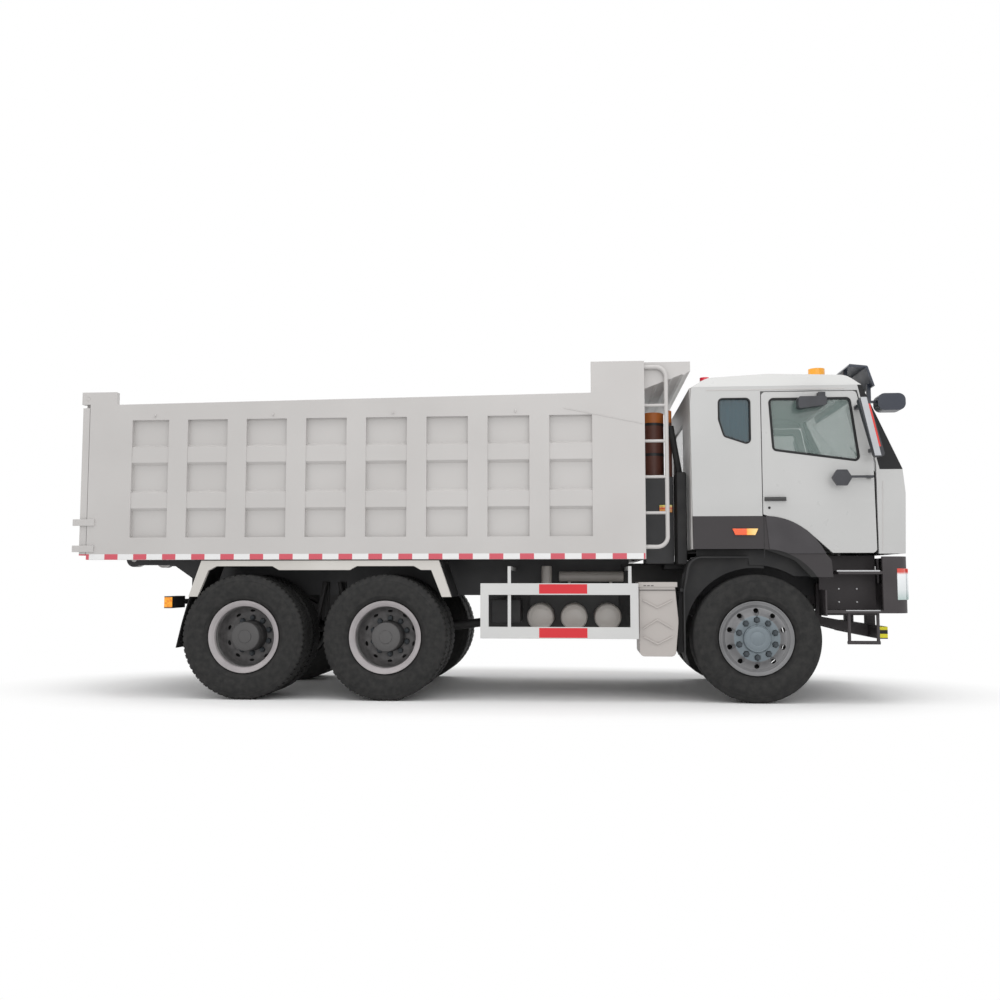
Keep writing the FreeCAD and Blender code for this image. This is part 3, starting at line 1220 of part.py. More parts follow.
def bed_floor(name):
    """Floor on cross bearers and two long sills, with the tipping lugs and pins."""
    pieces = [block(name + "Plate", (d.bed_rear_x, headboard_x), (-d.bed_in, d.bed_in),
                    (d.floor_bottom, floor_top))]
    for index in range(d.bearers.number):
        x = d.bearer_first_x + d.bearer_pitch * index
        pieces.append(block(f"{name}Bearer{index}", (x, x + d.bearer_width), (-d.bed_in, d.bed_in),
                            (d.floor_bottom - d.bearer_depth, d.floor_bottom)))
    sill = block(name + "Sill", (d.sill_rear_x, d.sill_front_x), (d.rail_in, d.rail_out),
                 (d.subframe_top + d.running_gap, d.floor_bottom))
    lug_out = d.rail_in - d.running_gap
    lug_ends = (lug_out - d.lug_width, lug_out)
    web = plate(name + "LugWeb", "XZ", [[
        (d.pivot_x - d.pivot_lug_radius, d.pivot_z), (d.pivot_x + d.pivot_lug_radius, d.pivot_z),
        (d.pivot_x + d.lug_foot_front, d.floor_bottom), (d.pivot_x - d.lug_foot_rear, d.floor_bottom),
    ]], lug_ends)
    lug = rod(name + "Lug", "y", d.pivot_lug_radius, lug_ends, x=d.pivot_x, z=d.pivot_z)
    pin = rod(name + "Pin", "y", d.pivot_radius, (lug_ends[0], d.rail_out), x=d.pivot_x, z=d.pivot_z)
    for index, piece in enumerate((sill, web, lug, pin)):
        pieces += both_sides(f"{name}{index}", piece)
    return fused(name, pieces)


keep("bed_floor", bed_floor("BedFloor"))


def headboard(name):
    """Front wall with ribs, the canopy over the cab and the cylinder's brackets."""
    plate_front = headboard_x + d.headboard_plate
    pieces = [block(name + "Plate", (headboard_x, plate_front), (-d.bed_in, d.bed_in),
                    (d.bed_bottom, d.front_plate_top))]
    for index in range(d.headboard_ribs.number):
        y = d.headboard_rib_first + d.headboard_rib_pitch * index
        pieces += both_sides(f"{name}Rib{index}", block(
            f"{name}Rib{index}", (plate_front, d.bed_front_x), (y, y + d.headboard_rib),
            (d.bed_bottom, d.front_plate_top)))
    for index, z in enumerate((d.bed_bottom, d.headboard_rail_middle, d.headboard_rail_high)):
        pieces.append(block(f"{name}Rail{index}", (plate_front, d.bed_front_x), (-d.bed_in, d.bed_in),
                            (z, z + d.headboard_rail)))
    top = d.front_plate_top
    band = top - d.canopy_band
    pieces.append(block(name + "Roof", (plate_front, d.canopy_x), (-d.bed_in, d.bed_in),
                        (top - d.canopy_sheet, top)))
    pieces.append(block(name + "Lip", (d.canopy_x - d.canopy_sheet, d.canopy_x),
                        (-d.bed_in, d.bed_in), (band, top)))
    under_run, under_rise = d.canopy_x - plate_front, band - d.canopy_root_z
    pieces.append(plate(name + "Under", "XZ", [[
        (plate_front, d.canopy_root_z), (d.canopy_x, band), (d.canopy_x, band + d.canopy_sheet),
        (plate_front, d.canopy_root_z + d.canopy_sheet),
    ]], (-d.bed_in, d.bed_in)))
    for index in range(d.canopy_folds.number):
        share = (index + 0.5) / d.canopy_folds.number
        x, z = plate_front + under_run * share, d.canopy_root_z + under_rise * share
        pieces.append(plate(f"{name}Fold{index}", "XZ", [[
            (x - d.canopy_fold, z), (x, z - d.canopy_fold / 3), (x + d.canopy_fold, z + d.canopy_fold / 2),
            (x, z + d.canopy_fold / 2),
        ]], (-d.bed_in, d.bed_in)))
    bracket_in = d.trunnion_out + d.running_gap
    gusset = [
        (plate_front, top), (d.canopy_x, top), (d.canopy_x, band),
        (plate_front, d.canopy_root_z - d.canopy_fold / 2),
    ]
    bracket = [
        (plate_front, d.trunnion_z - d.bracket_half * 1.6), (d.hoist_x, d.trunnion_z - d.bracket_half),
        (d.hoist_x + d.bracket_half, d.trunnion_z), (d.hoist_x, d.trunnion_z + d.bracket_half),
        (plate_front, d.trunnion_z + d.bracket_half * 1.6),
    ]
    sides = [
        plate(name + "Gusset", "XZ", [gusset], (d.bed_in - d.canopy_sheet, d.bed_in)),
        plate(name + "Bracket", "XZ", [bracket], (bracket_in, bracket_in + d.bracket_width)),
    ]
    for index, piece in enumerate(sides):
        pieces += both_sides(f"{name}Side{index}", piece)
    return fused(name, pieces)


keep("bed_headboard", headboard("Headboard"))


def bed_ladder(name):
    """Bent tube with rungs back to the raised front plate."""
    start = d.bed_front_x
    side_y = -(d.bed_in + d.ladder_tube + d.ladder_gap)
    tube = bent_tube(name + "Tube", [
        (start, d.ladder_top), (d.ladder_x, d.ladder_top, d.ladder_bend),
        (d.ladder_x, d.ladder_bottom, d.ladder_bend), (start, d.ladder_bottom),
    ], d.ladder_tube, side_y)
    rungs = [
        rod(f"{name}Rung{index}", "x", d.rung_radius, (start, d.ladder_x),
            y=side_y, z=d.rung_low + d.rung_pitch * index)
        for index in range(d.rungs.number)
    ]
    return fused(name, [tube] + rungs)


keep("bed_ladder", bed_ladder("BedLadder"))


def tailgate(name):
    """Framed gate with arms and pins in the hinge boxes."""
    front = d.bed_rear_x - d.running_gap
    rear = front - d.gate_thickness
    skin = front - d.gate_skin
    pieces = [block(name + "Skin", (skin, front), (-d.gate_out, d.gate_out),
                    (d.gate_bottom, d.gate_top))]
    for index, z in enumerate((d.gate_bottom, d.gate_rail_low, d.gate_rail_high, d.gate_top - d.gate_rail)):
        pieces.append(block(f"{name}Rail{index}", (rear, skin), (-d.gate_out, d.gate_out),
                            (z, z + d.gate_rail)))
    for index, y in enumerate((d.gate_post_y, d.gate_out - d.gate_rail)):
        pieces += both_sides(f"{name}Post{index}", block(
            f"{name}Post{index}", (rear, skin), (y, y + d.gate_rail), (d.gate_bottom, d.gate_top)))
    arm_half = d.gate_arm_radius * 0.9
    arm = plate(name + "Arm", "XZ", [[
        (rear, d.gate_top - d.overlap), (front, d.gate_top - d.overlap),
        (d.gate_pin_x + arm_half, d.gate_pin_z), (d.gate_pin_x - arm_half, d.gate_pin_z),
    ]], (d.gate_arm_in, d.gate_arm_out))
    eye = rod(name + "Eye", "y", d.gate_arm_radius, (d.gate_arm_in, d.gate_arm_out),
              x=d.gate_pin_x, z=d.gate_pin_z)
    pin = rod(name + "Pin", "y", d.gate_pin_radius, (d.gate_arm_in, d.bed_out), x=d.gate_pin_x,
              z=d.gate_pin_z)
    for index, piece in enumerate((arm, eye, pin)):
        pieces += both_sides(f"{name}{index}", piece)
    return fused(name, pieces)


keep("tailgate", tailgate("Tailgate"))


# ---------------------------------------------------------------- hoist cylinder

hoist_top = d.hoist_bottom + d.hoist_length


def hoist_tube(name, radius, bottom):
    outer = rod(name + "Outer", "z", radius, (bottom, hoist_top), x=d.hoist_x)
    inner = rod(name + "Inner", "z", radius - d.hoist_wall, (bottom - d.overlap, hoist_top + d.overlap),
                x=d.hoist_x)
    return less(name, outer, [inner])


def hoist_barrel(name):
    """Fixed tube with its foot and base pin."""
    foot = rod(name + "Foot", "z", d.hoist_barrel_radius,
               (d.hoist_bottom, d.hoist_bottom + d.hoist_foot), x=d.hoist_x)
    half = d.hoist_eye_half
    eye = rod(name + "Eye", "y", d.hoist_eye_radius, (-half, half), x=d.hoist_x, z=d.hoist_pin_z)
    neck = block(name + "Neck", (d.hoist_x - half, d.hoist_x + half), (-half, half),
                 (d.hoist_pin_z, d.hoist_bottom + d.overlap))
    pin = rod(name + "Pin", "y", d.hoist_pin_radius, (-d.hoist_pin_half, d.hoist_pin_half), x=d.hoist_x,
              z=d.hoist_pin_z)
    tube = hoist_tube(name + "Tube", d.hoist_barrel_radius, d.hoist_bottom)
    return fused(name, [tube, foot, eye, neck, pin])


keep("hoist_barrel", hoist_barrel("HoistBarrel"))
stage_bottom = d.hoist_bottom + d.hoist_foot + d.running_gap
stage_radius = d.hoist_barrel_radius
for stage in (1, 2, 3):
    stage_radius = stage_radius - d.hoist_wall - d.fit_gap
    keep(f"hoist_stage_{stage}", hoist_tube(f"HoistStage{stage}", stage_radius, stage_bottom))


def hoist_cover(name):
    """Last stage, a rod, with the cap and outer cover that hang from it on two pins."""
    last = rod(name + "Rod", "z", stage_radius - d.hoist_wall - d.fit_gap,
               (stage_bottom, hoist_top + d.hoist_cap / 2), x=d.hoist_x)
    cap = rod(name + "Cap", "z", d.hoist_cover_radius, (hoist_top + d.running_gap, hoist_top + d.hoist_cap),
              x=d.hoist_x)
    outer = rod(name + "Outer", "z", d.hoist_cover_radius,
                (d.hoist_bottom + d.hoist_foot, hoist_top + d.hoist_cap / 2),
                x=d.hoist_x)
    inner = rod(name + "Inner", "z", d.hoist_cover_radius - d.hoist_wall,
                (d.hoist_bottom, hoist_top + d.hoist_cap), x=d.hoist_x)
    tube = less(name + "Tube", outer, [inner])
    pins = both_sides(name + "Pin", rod(name + "Pin", "y", d.trunnion_radius,
                                        (d.hoist_cover_radius - d.hoist_wall, d.trunnion_out),
                                        x=d.hoist_x, z=d.trunnion_z))
    return fused(name, [last, cap, tube] + pins)


keep("hoist_cover", hoist_cover("HoistCover"))


# ---------------------------------------------------------------- engine and drive

def engine(name):
    """Engine with gearbox, on pads that reach the rails' webs."""
    pieces = [
        block(name + "Block", (d.engine_rear_x, d.engine_front_x), (-d.engine_half, d.engine_half),
              (d.engine_bottom, d.engine_top)),
        block(name + "Gearbox", (d.gearbox_rear_x, d.engine_rear_x), (-d.gearbox_half, d.gearbox_half),
              (d.output_z - d.gearbox_low, d.output_z + d.gearbox_high)),
    ]
    for index, x in enumerate((d.engine_rear_x + d.engine_pad_inset, d.engine_front_x - d.engine_pad_inset)):
        pieces.append(block(f"{name}Pad{index}", (x - d.engine_pad_half, x + d.engine_pad_half),
                            (-web_face, web_face), (d.engine_pad_low, d.engine_pad_high)))
    return fused(name, pieces)


def silencer(name):
    """Exhaust silencer on the left-hand rail, with its arm."""
    outline = [
        (d.silencer_in, d.silencer_bottom, d.silencer_corner),
        (d.silencer_out, d.silencer_bottom, d.silencer_corner),
        (d.silencer_out, d.silencer_top, d.silencer_corner),
        (d.silencer_in, d.silencer_top, d.silencer_corner),
    ]
    can = plate(name + "Can", "YZ", [outline], (d.silencer_rear_x, d.silencer_front_x))
    middle = (d.silencer_rear_x + d.silencer_front_x) / 2
    half, reach = d.tank_arm_half, d.tank_arm_reach
    arm = block(name + "Arm", (middle - half, middle + half), (d.rail_out, d.silencer_in + half),
                (d.rail_bottom - reach, d.rail_bottom + reach))
    return fused(name, [can, arm])


keep("engine", grouped("EngineAndSilencer", [engine("Engine"), silencer("Silencer")]))


def shaft(name, rear, front):
    """A propeller shaft between two (x, z) joints."""
    bar = doc.addObject("Part::Cylinder", name)
    run, rise = front[0] - rear[0], front[1] - rear[1]
    bind(bar, "Radius", d.shaft_radius)
    length = Size(math.hypot(run.number, rise.number), f"sqrt(pow({run.formula}; 2) + pow({rise.formula}; 2))")
    bind(bar, "Height", length)
    bar.Placement.Rotation = FreeCAD.Rotation(Vector(0, 0, 1), Vector(run.number, 0, rise.number))
    return place(bar, x=rear[0], z=rear[1])


nose_z = axle_z + d.axle_nose_rise
keep("propeller_shafts", grouped("PropellerShafts", [
    shaft("ShaftFront", (first_driven_x + d.axle_nose + d.shaft_joint, nose_z),
          (d.gearbox_rear_x - d.shaft_joint, d.output_z)),
    shaft("ShaftRear", (rear_axle_x + d.axle_nose, nose_z), (first_driven_x - d.axle_nose, nose_z)),
]))


# ---------------------------------------------------------------- bumper and steps

def bumper(name):
    """Deep bumper wrapped round the corners, slotted for the cab's tilt arms."""
    front, rear, wall = d.bumper_front_x, d.bumper_rear_x, d.bumper_wall
    half = d.body_half
    shell = [
        (rear, -half), (front, -half, d.bumper_corner), (front, half, d.bumper_corner), (rear, half),
        (rear, half - wall), (front - wall, half - wall, d.bumper_corner - wall),
        (front - wall, -half + wall, d.bumper_corner - wall), (rear, -half + wall),
    ]
    body = plate(name + "Shell", "XY", [shell], (d.bumper_bottom, d.bumper_top))
    slots = both_sides(name + "Slot", block(
        name + "Slot", (front - wall - d.overlap, front + d.overlap),
        (d.tilt_arm_in - d.running_gap, d.tilt_arm_out + d.running_gap),
        (d.tilt_z - d.tilt_eye_radius / 2, d.bumper_top + d.overlap)))
    lamp_x = front - d.lamp_recess
    windows = both_sides(name + "LampHole", block(name + "LampHole", (lamp_x, front + d.overlap),
                                                  (d.lamp_in, d.lamp_out), (d.lamp_low, d.lamp_high)))
    grille = [
        block(f"{name}AirSlot{index}", (front - wall - d.overlap, front + d.overlap),
              (-d.grille_half, d.grille_half),
              (d.grille_low + d.grille_pitch * index, d.grille_low + d.grille_pitch * index + d.grille_slot))
        for index in range(d.grille_slots.number)
    ]
    pieces = [less(name + "Slotted", body, slots + windows + grille)]
    horn = block(name + "Horn", (d.rail_front_x, front - wall), (d.rail_in, d.rail_out),
                 (d.tilt_z - d.horn_low, d.rail_bottom + d.horn_high))
    pin = rod(name + "Pin", "y", d.tilt_pin_radius, (d.tilt_arm_in, d.rail_in), x=d.tilt_x, z=d.tilt_z)
    beam_bar = block(name + "Beam", (d.beam_rear_x, d.beam_front_x), (-d.beam_half_y, d.beam_half_y),
                     (d.beam_low, d.beam_high))
    hanger = block(name + "Hanger", (d.beam_rear_x, d.beam_front_x), (d.rail_in, d.rail_out),
                   (d.beam_low, d.tilt_z - d.horn_low))
    brace_ends = (d.rail_out, d.rail_out + d.brace)
    brace = plate(name + "Brace", "XZ", [[
        (d.brace_rear_x, d.brace_high - d.brace_tall), (d.beam_rear_x, d.beam_low),
        (d.beam_front_x, d.beam_low),
        (d.beam_front_x, d.beam_high), (d.beam_rear_x, d.beam_high), (d.brace_rear_x, d.brace_high),
    ]], brace_ends)
    stay = block(name + "Stay", (d.brace_rear_x, d.brace_rear_x + d.brace), brace_ends,
                 (d.brace_high - d.brace_tall, d.rail_bottom + d.horn_high))
    pieces.append(beam_bar)
    for index, piece in enumerate((horn, pin, hanger, brace, stay)):
        pieces += both_sides(f"{name}{index}", piece)
    return fused(name, pieces)


keep("front_bumper", bumper("FrontBumper"))


def steps(name):
    """Step well beside the bumper with two treads and a hanging step."""
    front = d.bumper_rear_x
    wall_ends = (d.step_in, d.step_in + d.step_wall)
    tread_ends = (d.step_in + d.step_wall, d.body_half)
    arm = d.step_arm_half
    pieces = [
        block(name + "Wall", (d.step_rear_x, front), wall_ends, (d.step_bottom, d.step_top)),
        block(name + "Rear", (d.step_rear_x, d.step_rear_x + d.step_wall), tread_ends,
              (d.step_bottom, d.step_back_top)),
        block(name + "TreadLow", (d.step_rear_x, front), tread_ends,
              (d.tread_low - d.tread_thickness, d.tread_low)),
        block(name + "TreadHigh", (d.tread_high_x, front), tread_ends,
              (d.tread_high - d.tread_thickness, d.tread_high)),
        block(name + "Arm", (d.step_arm_x - arm, d.step_arm_x + arm), (d.rail_out, d.step_in),
              (d.step_arm_z - arm, d.step_arm_z + arm)),
    ]
    low, loop_y = d.loop_bottom, d.body_half - d.loop_inset
    for index, x in enumerate((d.loop_rear_x, d.loop_front_x)):
        pieces.append(rod(f"{name}Leg{index}", "z", d.loop_tube * 0.9, (low, d.tread_low - d.overlap), x=x,
                          y=loop_y))
    pieces.append(rod(name + "LoopTread", "x", d.loop_tube,
                      (d.loop_rear_x - d.loop_tube, d.loop_front_x + d.loop_tube),
                      y=loop_y, z=low))
    return fused(name, pieces)


keep("steps", grouped("Steps", both_sides("StepsSide", steps("StepsSide"))))


# ---------------------------------------------------------------- mudguards, fenders and flaps

def front_mudguard(name):
    """Sheet that follows the tyre behind it and over its rear half."""
    face, sheet_thick, top, turn = d.guard_x, d.guard_sheet, d.guard_top, d.guard_round
    back = face - sheet_thick
    body = plate(name + "Sheet", "XZ", [[
        (face + d.guard_tail, d.guard_bottom), (face, d.guard_knee_z), (face, d.guard_shoulder_z, turn),
        (face + d.guard_lean, top, turn), (d.guard_front_x, top), (d.guard_front_x, top + sheet_thick),
        (back + d.guard_lean - sheet_thick, top + sheet_thick, turn + sheet_thick),
        (back, d.guard_shoulder_z, turn + sheet_thick), (back, d.guard_knee_z),
        (back + d.guard_tail, d.guard_bottom),
    ]], (d.guard_in, d.body_half - d.guard_inset))
    foot = (d.guard_in, d.guard_in + d.guard_stay_foot)
    stay = rod(name + "Stay", "y", d.guard_stay, (d.rail_out, d.body_half - d.guard_stay_foot),
               x=back - d.guard_stay + d.overlap / 2, z=d.guard_stay_z)
    high_stay = rod(name + "HighStay", "y", d.guard_stay, (d.rail_out, foot[1]), x=d.guard_stay_x,
                    z=d.guard_stay_high)
    riser = block(name + "Riser", (d.guard_stay_x - d.guard_stay, d.guard_stay_x + d.guard_stay), foot,
                  (d.guard_stay_high, top))
    return fused(name, [body, stay, high_stay, riser])


keep("front_mudguards", grouped("FrontMudguards", both_sides("FrontMudguard", front_mudguard("FrontMudguard"))))


def fender_outline(depth):
    """The flat arch over both driven wheels, as a strip of some depth."""
    rear, front, top = d.fender_rear_x, d.fender_front_x, d.fender_top
    lean, low = d.fender_leg_reach, d.fender_leg_z
    return [
        (rear - lean, low), (rear - lean + depth, low), (rear + depth * 0.8, top - depth),
        (front - depth * 0.8, top - depth), (front + lean - depth, low), (front + lean, low),
        (front, top), (rear, top),
    ]


def rear_fender(name):
    """Deep rim with an arch over each tyre, a thin cover behind it and three stays."""
    rim_in = d.body_half - d.fender_rim_in
    rim_ends = (rim_in, d.body_half + d.fender_rim_out)
    rim = plate(name + "Rim", "XZ", [fender_outline(d.fender_tall)], rim_ends)
    arches = []
    low = d.fender_top - d.fender_tall
    for index, x in enumerate((rear_axle_x, first_driven_x)):
        half, ramp = d.fender_arch_half, d.fender_arch_ramp
        arches.append(plate(f"{name}Arch{index}", "XZ", [[
            (x - half - ramp, low - d.overlap), (x - half - ramp, low), (x - half, low + d.fender_arch_rise),
            (x + half, low + d.fender_arch_rise), (x + half + ramp, low), (x + half + ramp, low - d.overlap),
        ]], rim_ends))
    rim = less(name + "ArchedRim", rim, arches)
    cover = plate(name + "Cover", "XZ", [fender_outline(d.fender_cover)], (d.fender_in, rim_in))
    pieces = [rim, cover]
    inset = d.fender_stay_inset
    for index, x in enumerate((d.fender_rear_x + inset, bogie_x, d.fender_front_x - inset)):
        pieces.append(rod(f"{name}Stay{index}", "y", d.fender_stay, (d.rail_out, rim_in - d.overlap), x=x,
                          z=d.fender_top - d.fender_stay_drop))
    return fused(name, pieces)


keep("rear_fenders", grouped("RearFenders", both_sides("RearFender", rear_fender("RearFender"))))


def mud_flap(name):
    """Flap that hangs from the rear leg of the fender."""
    face, middle = d.fender_rear_x - d.fender_leg_reach, (d.fender_leg_z + d.flap_low) / 2
    sheet_thick, lean = d.flap_sheet, d.flap_lean
    return plate(name, "XZ", [[
        (face, d.fender_leg_z), (face + sheet_thick, d.fender_leg_z), (face - lean / 2, middle),
        (face - lean, d.flap_low), (face - lean - sheet_thick, d.flap_low),
        (face - lean / 2 - sheet_thick, middle),
    ]], (d.fender_in + d.flap_inset, d.body_half + d.fender_rim_in))


keep("mud_flaps", grouped("MudFlaps", both_sides("MudFlap", mud_flap("MudFlap"))))


def tail_lamps(name):
    """Bar under the rails' tails with a lamp box at each end."""
    x, z, half, deep, tall = d.lamp_bar_x, d.lamp_bar_z, d.lamp_bar, d.tail_lamp_deep, d.tail_lamp_half
    pieces = [block(name + "Bar", (x - half, x + half), (-d.tail_lamp_in, d.tail_lamp_in),
                    (z - half, z + half))]
    lamp = block(name + "Lamp", (x - deep, x + deep), (d.tail_lamp_in, d.tail_lamp_out), (z - tall, z + tall))
    hanger = block(name + "Hanger", (x - half, x + half), (d.rail_in, d.rail_out), (z, d.rail_bottom))
    for index, piece in enumerate((lamp, hanger)):
        pieces += both_sides(f"{name}{index}", piece)
    return fused(name, pieces)


keep("tail_lamps", tail_lamps("TailLamps"))


# ---------------------------------------------------------------- side guards and tanks

def side_guard(name):
    """Framed guard, hung from the rail by two bent arms."""
    rear, front = d.side_guard_rear_x, d.side_guard_front_x
    low, high, rail, post = d.side_guard_bottom, d.side_guard_top, d.side_guard_rail, d.side_guard_post
    outline = [(rear, low), (front, low), (front, high), (rear, high)]
    window = [
        (rear + post, low + rail), (front - post, low + rail),
        (front - post, high - rail), (rear + post, high - rail),
    ]
    frame = plate(name + "Frame", "XZ", [outline, window], (d.side_guard_in, d.side_guard_out))
    pieces = [frame]
    half, inner = d.guard_hanger, d.guard_inner_post
    for index, x in enumerate((d.guard_hanger_rear_x, d.guard_hanger_front_x)):
        pieces.append(block(f"{name}Hanger{index}", (x - half, x + half),
                            (d.side_guard_in, d.side_guard_out), (high - half, d.guard_arm_high)))
        pieces.append(block(f"{name}Arm{index}", (x - half, x + half), (d.rail_out, d.side_guard_out),
                            (d.guard_arm_low, d.guard_arm_high)))
    pieces.append(block(name + "InnerPost", (d.guard_hanger_rear_x - half, d.guard_hanger_rear_x + half),
                        (d.side_guard_in, d.side_guard_in + inner), (low + rail - half, high - rail + half)))
    return fused(name, pieces)


keep("side_guards", grouped("SideGuards", both_sides("SideGuard", side_guard("SideGuard"))))


def air_tanks(name):
    """Tanks with domed ends, across the truck on one hanger plate of the right-hand rail."""
    hanger_out = d.rail_out + d.tank_hanger
    first_x, radius, dome = d.air_tank_first_x, d.air_tank_radius, d.air_tank_dome
    last_x = first_x + d.air_tank_pitch * (d.air_tanks.number - 1)
    pieces = [block(name + "Hanger", (first_x - d.tank_hanger_end, last_x + d.tank_hanger_end),
                    (-hanger_out, -d.rail_out),
                    (d.air_tank_z - d.tank_hanger_low, d.rail_bottom + d.tank_hanger_end))]
    for index in range(d.air_tanks.number):
        outline = [
            (0, hanger_out - d.overlap), (radius, hanger_out - d.overlap), (radius, d.air_tank_out - dome),
            (radius * 0.9, d.air_tank_out - dome * 0.5), (radius * 0.6, d.air_tank_out - dome * 0.15),
            (0, d.air_tank_out),
        ]
        pieces.append(turned(f"{name}{index}", outline, first_x + d.air_tank_pitch * index, d.air_tank_z, -1))
    return fused(name, pieces)


keep("air_tanks", air_tanks("AirTanks"))


def battery_box(name):
    """Moulded box with a bowed front and an overhanging lid, on an arm from the rail."""
    low, high = d.box_bottom, d.box_top - d.box_lid
    middle = (low + high) / 2
    outline = [
        (d.box_rear_x, low, d.box_corner), (d.box_front_x - d.box_bow, low, d.box_corner),
        (d.box_front_x, middle, d.box_corner * 6), (d.box_front_x - d.box_bow, high), (d.box_rear_x, high),
    ]
    body = plate(name + "Body", "XZ", [outline], (-d.box_out, -d.box_in))
    lid = block(name + "Lid", (d.box_rear_x - d.box_lip, d.box_front_x - d.box_lip),
                (-d.box_out - d.box_lip, -d.box_in), (high, d.box_top))
    reach = d.tank_arm_reach
    arm = block(name + "Arm", (d.box_rear_x + reach, d.box_front_x - reach), (-d.box_in, -d.rail_out),
                (d.rail_bottom, d.rail_bottom + reach))
    return fused(name, [body, lid, arm])


keep("battery_box", battery_box("BatteryBox"))


def fuel_tank(name):
    """Rounded tank on two brackets of the left-hand rail."""
    outline = [
        (d.fuel_in, d.fuel_bottom, d.fuel_corner), (d.fuel_out, d.fuel_bottom, d.fuel_corner),
        (d.fuel_out, d.fuel_top, d.fuel_corner), (d.fuel_in, d.fuel_top, d.fuel_corner),
    ]
    pieces = [plate(name + "Body", "YZ", [outline], (d.fuel_rear_x, d.fuel_front_x))]
    half, inset = d.tank_arm_half, d.fuel_bracket_inset
    for index, x in enumerate((d.fuel_rear_x + inset, d.fuel_front_x - inset)):
        pieces.append(block(f"{name}Bracket{index}", (x - half, x + half), (d.rail_out, d.fuel_in + half),
                            (d.fuel_bottom + inset, d.rail_bottom + inset)))
    return fused(name, pieces)


keep("fuel_tank", fuel_tank("FuelTank"))


def oil_tank(name):
    """Upright tank behind the cab on a foot over the right-hand rail."""
    body = block(name + "Body", (d.oil_rear_x, d.oil_front_x), (-d.oil_out, -d.oil_in),
                 (d.oil_bottom, d.oil_top))
    foot = block(name + "Foot", (d.oil_rear_x, d.oil_front_x), (-d.oil_out, -d.rail_in),
                 (d.rail_top, d.oil_bottom))
    return fused(name, [body, foot])


keep("oil_tank", oil_tank("OilTank"))


def air_cleaner(name):
    """Upright canister on the oil tank, with a pipe up to the cab's rear corner."""
    can = rod(name + "Can", "z", d.cleaner_radius, (d.oil_top, d.cleaner_top), x=d.cleaner_x,
              y=-d.cleaner_y)
    pipe = rod(name + "Pipe", "z", d.intake_radius, (d.oil_top, d.cleaner_top),
               x=d.oil_front_x - d.intake_inset, y=-d.intake_y)
    return grouped(name, [can, pipe])


keep("air_cleaner", air_cleaner("AirCleaner"))


# ---------------------------------------------------------------- cab

cab_in = d.body_half - d.cab_wall
door_top = d.cab_eave - d.door_drop
glass_ends = (d.body_half - (d.cab_wall + d.glass) / 2, d.body_half - (d.cab_wall - d.glass) / 2)


def quarter_window():
    """Outline of the window behind a door, its rear edge following the pillar."""
    high = d.cab_eave - d.quarter_drop
    low = high - d.quarter_tall
    return [
        (d.quarter_rear_x, high, d.window_rounding),
        (d.quarter_rear_x, low + d.quarter_knee, d.window_rounding),
        (d.quarter_rear_x + d.quarter_heel, low + d.quarter_heel_rise, d.window_rounding),
        (d.quarter_front_x, low, d.window_rounding),
        (d.quarter_front_x, high, d.window_rounding),
    ]


def rear_window():
    """Outline of the window in the back wall."""
    high = d.cab_eave - d.rear_window_drop
    low = high - d.rear_window_tall
    half = d.rear_window_half
    return [
        (-half, low, d.window_rounding), (half, low, d.window_rounding),
        (half, high, d.window_rounding), (-half, high, d.window_rounding),
    ]


def cab_side(name):
    """Side panel from the back wall to the screen's pillar, with its window, door hole and flare."""
    gap = d.door_gap
    outline = [
        (d.cab_rear_x + d.cab_rear_lean, d.cab_sill),
        (d.flare_in_rear_x, d.cab_sill),
        (d.flare_in_knee_x, d.flare_in_knee_z, d.flare_round),
        (d.flare_in_tip_x, d.flare_tip_z),
        (d.flare_tip_x, d.flare_tip_z),
        (d.flare_front_x, d.door_bottom - d.flare_step, d.flare_tip_round),
        (d.flare_knee_x, d.flare_knee_z, d.flare_edge_round),
        (d.door_rear_x - gap, d.flare_high_z),
        (d.door_rear_x - gap, door_top + gap),
        (d.door_corner_x + gap * 1.3, door_top + gap),
        (d.door_bend_x + gap * 3, d.door_bend_z),
        (d.door_front_x + gap * 2, d.cab_front_sill),
        (d.cab_chin_x, d.cab_front_sill),
        (d.cab_nose_x, d.cab_nose_z),
        (d.screen_base_x, d.screen_base_z),
        (d.screen_top_x, d.cab_eave),
        (d.cab_rear_x + d.cab_rear_lean, d.cab_eave),
        (d.cab_rear_x, d.cab_eave - d.cab_shoulder),
    ]
    panel = plate(name + "Panel", "XZ", [outline, quarter_window()], (cab_in, d.body_half))
    pillar = plate(name + "Pillar", "XZ", [[
        (d.screen_base_x, d.screen_base_z), (d.screen_top_x, d.cab_eave),
        (d.screen_top_x - d.pillar_width, d.cab_eave), (d.screen_base_x - d.pillar_width, d.screen_base_z),
    ]], (cab_in - d.pillar_width, cab_in))
    return fused(name, [panel, pillar])


keep("cab_sides", grouped("CabSides", both_sides("CabSide", cab_side("CabSide"))))

roof_rear_z = d.cab_eave + d.roof_rear_rise
roof_peak_z = d.cab_eave + d.roof_peak_rise
roof_front_z = d.cab_eave + d.roof_front_rise
roof_shell = plate("RoofShell", "XZ", [[
    (d.cab_rear_x + d.cab_rear_lean, d.cab_eave), (d.roof_rear_x, roof_rear_z, d.roof_round),
    (d.roof_peak_x, roof_peak_z, d.roof_crown_round), (d.roof_front_x, roof_front_z, d.roof_round),
    (d.screen_top_x, d.cab_eave),
]], (-d.body_half, d.body_half))


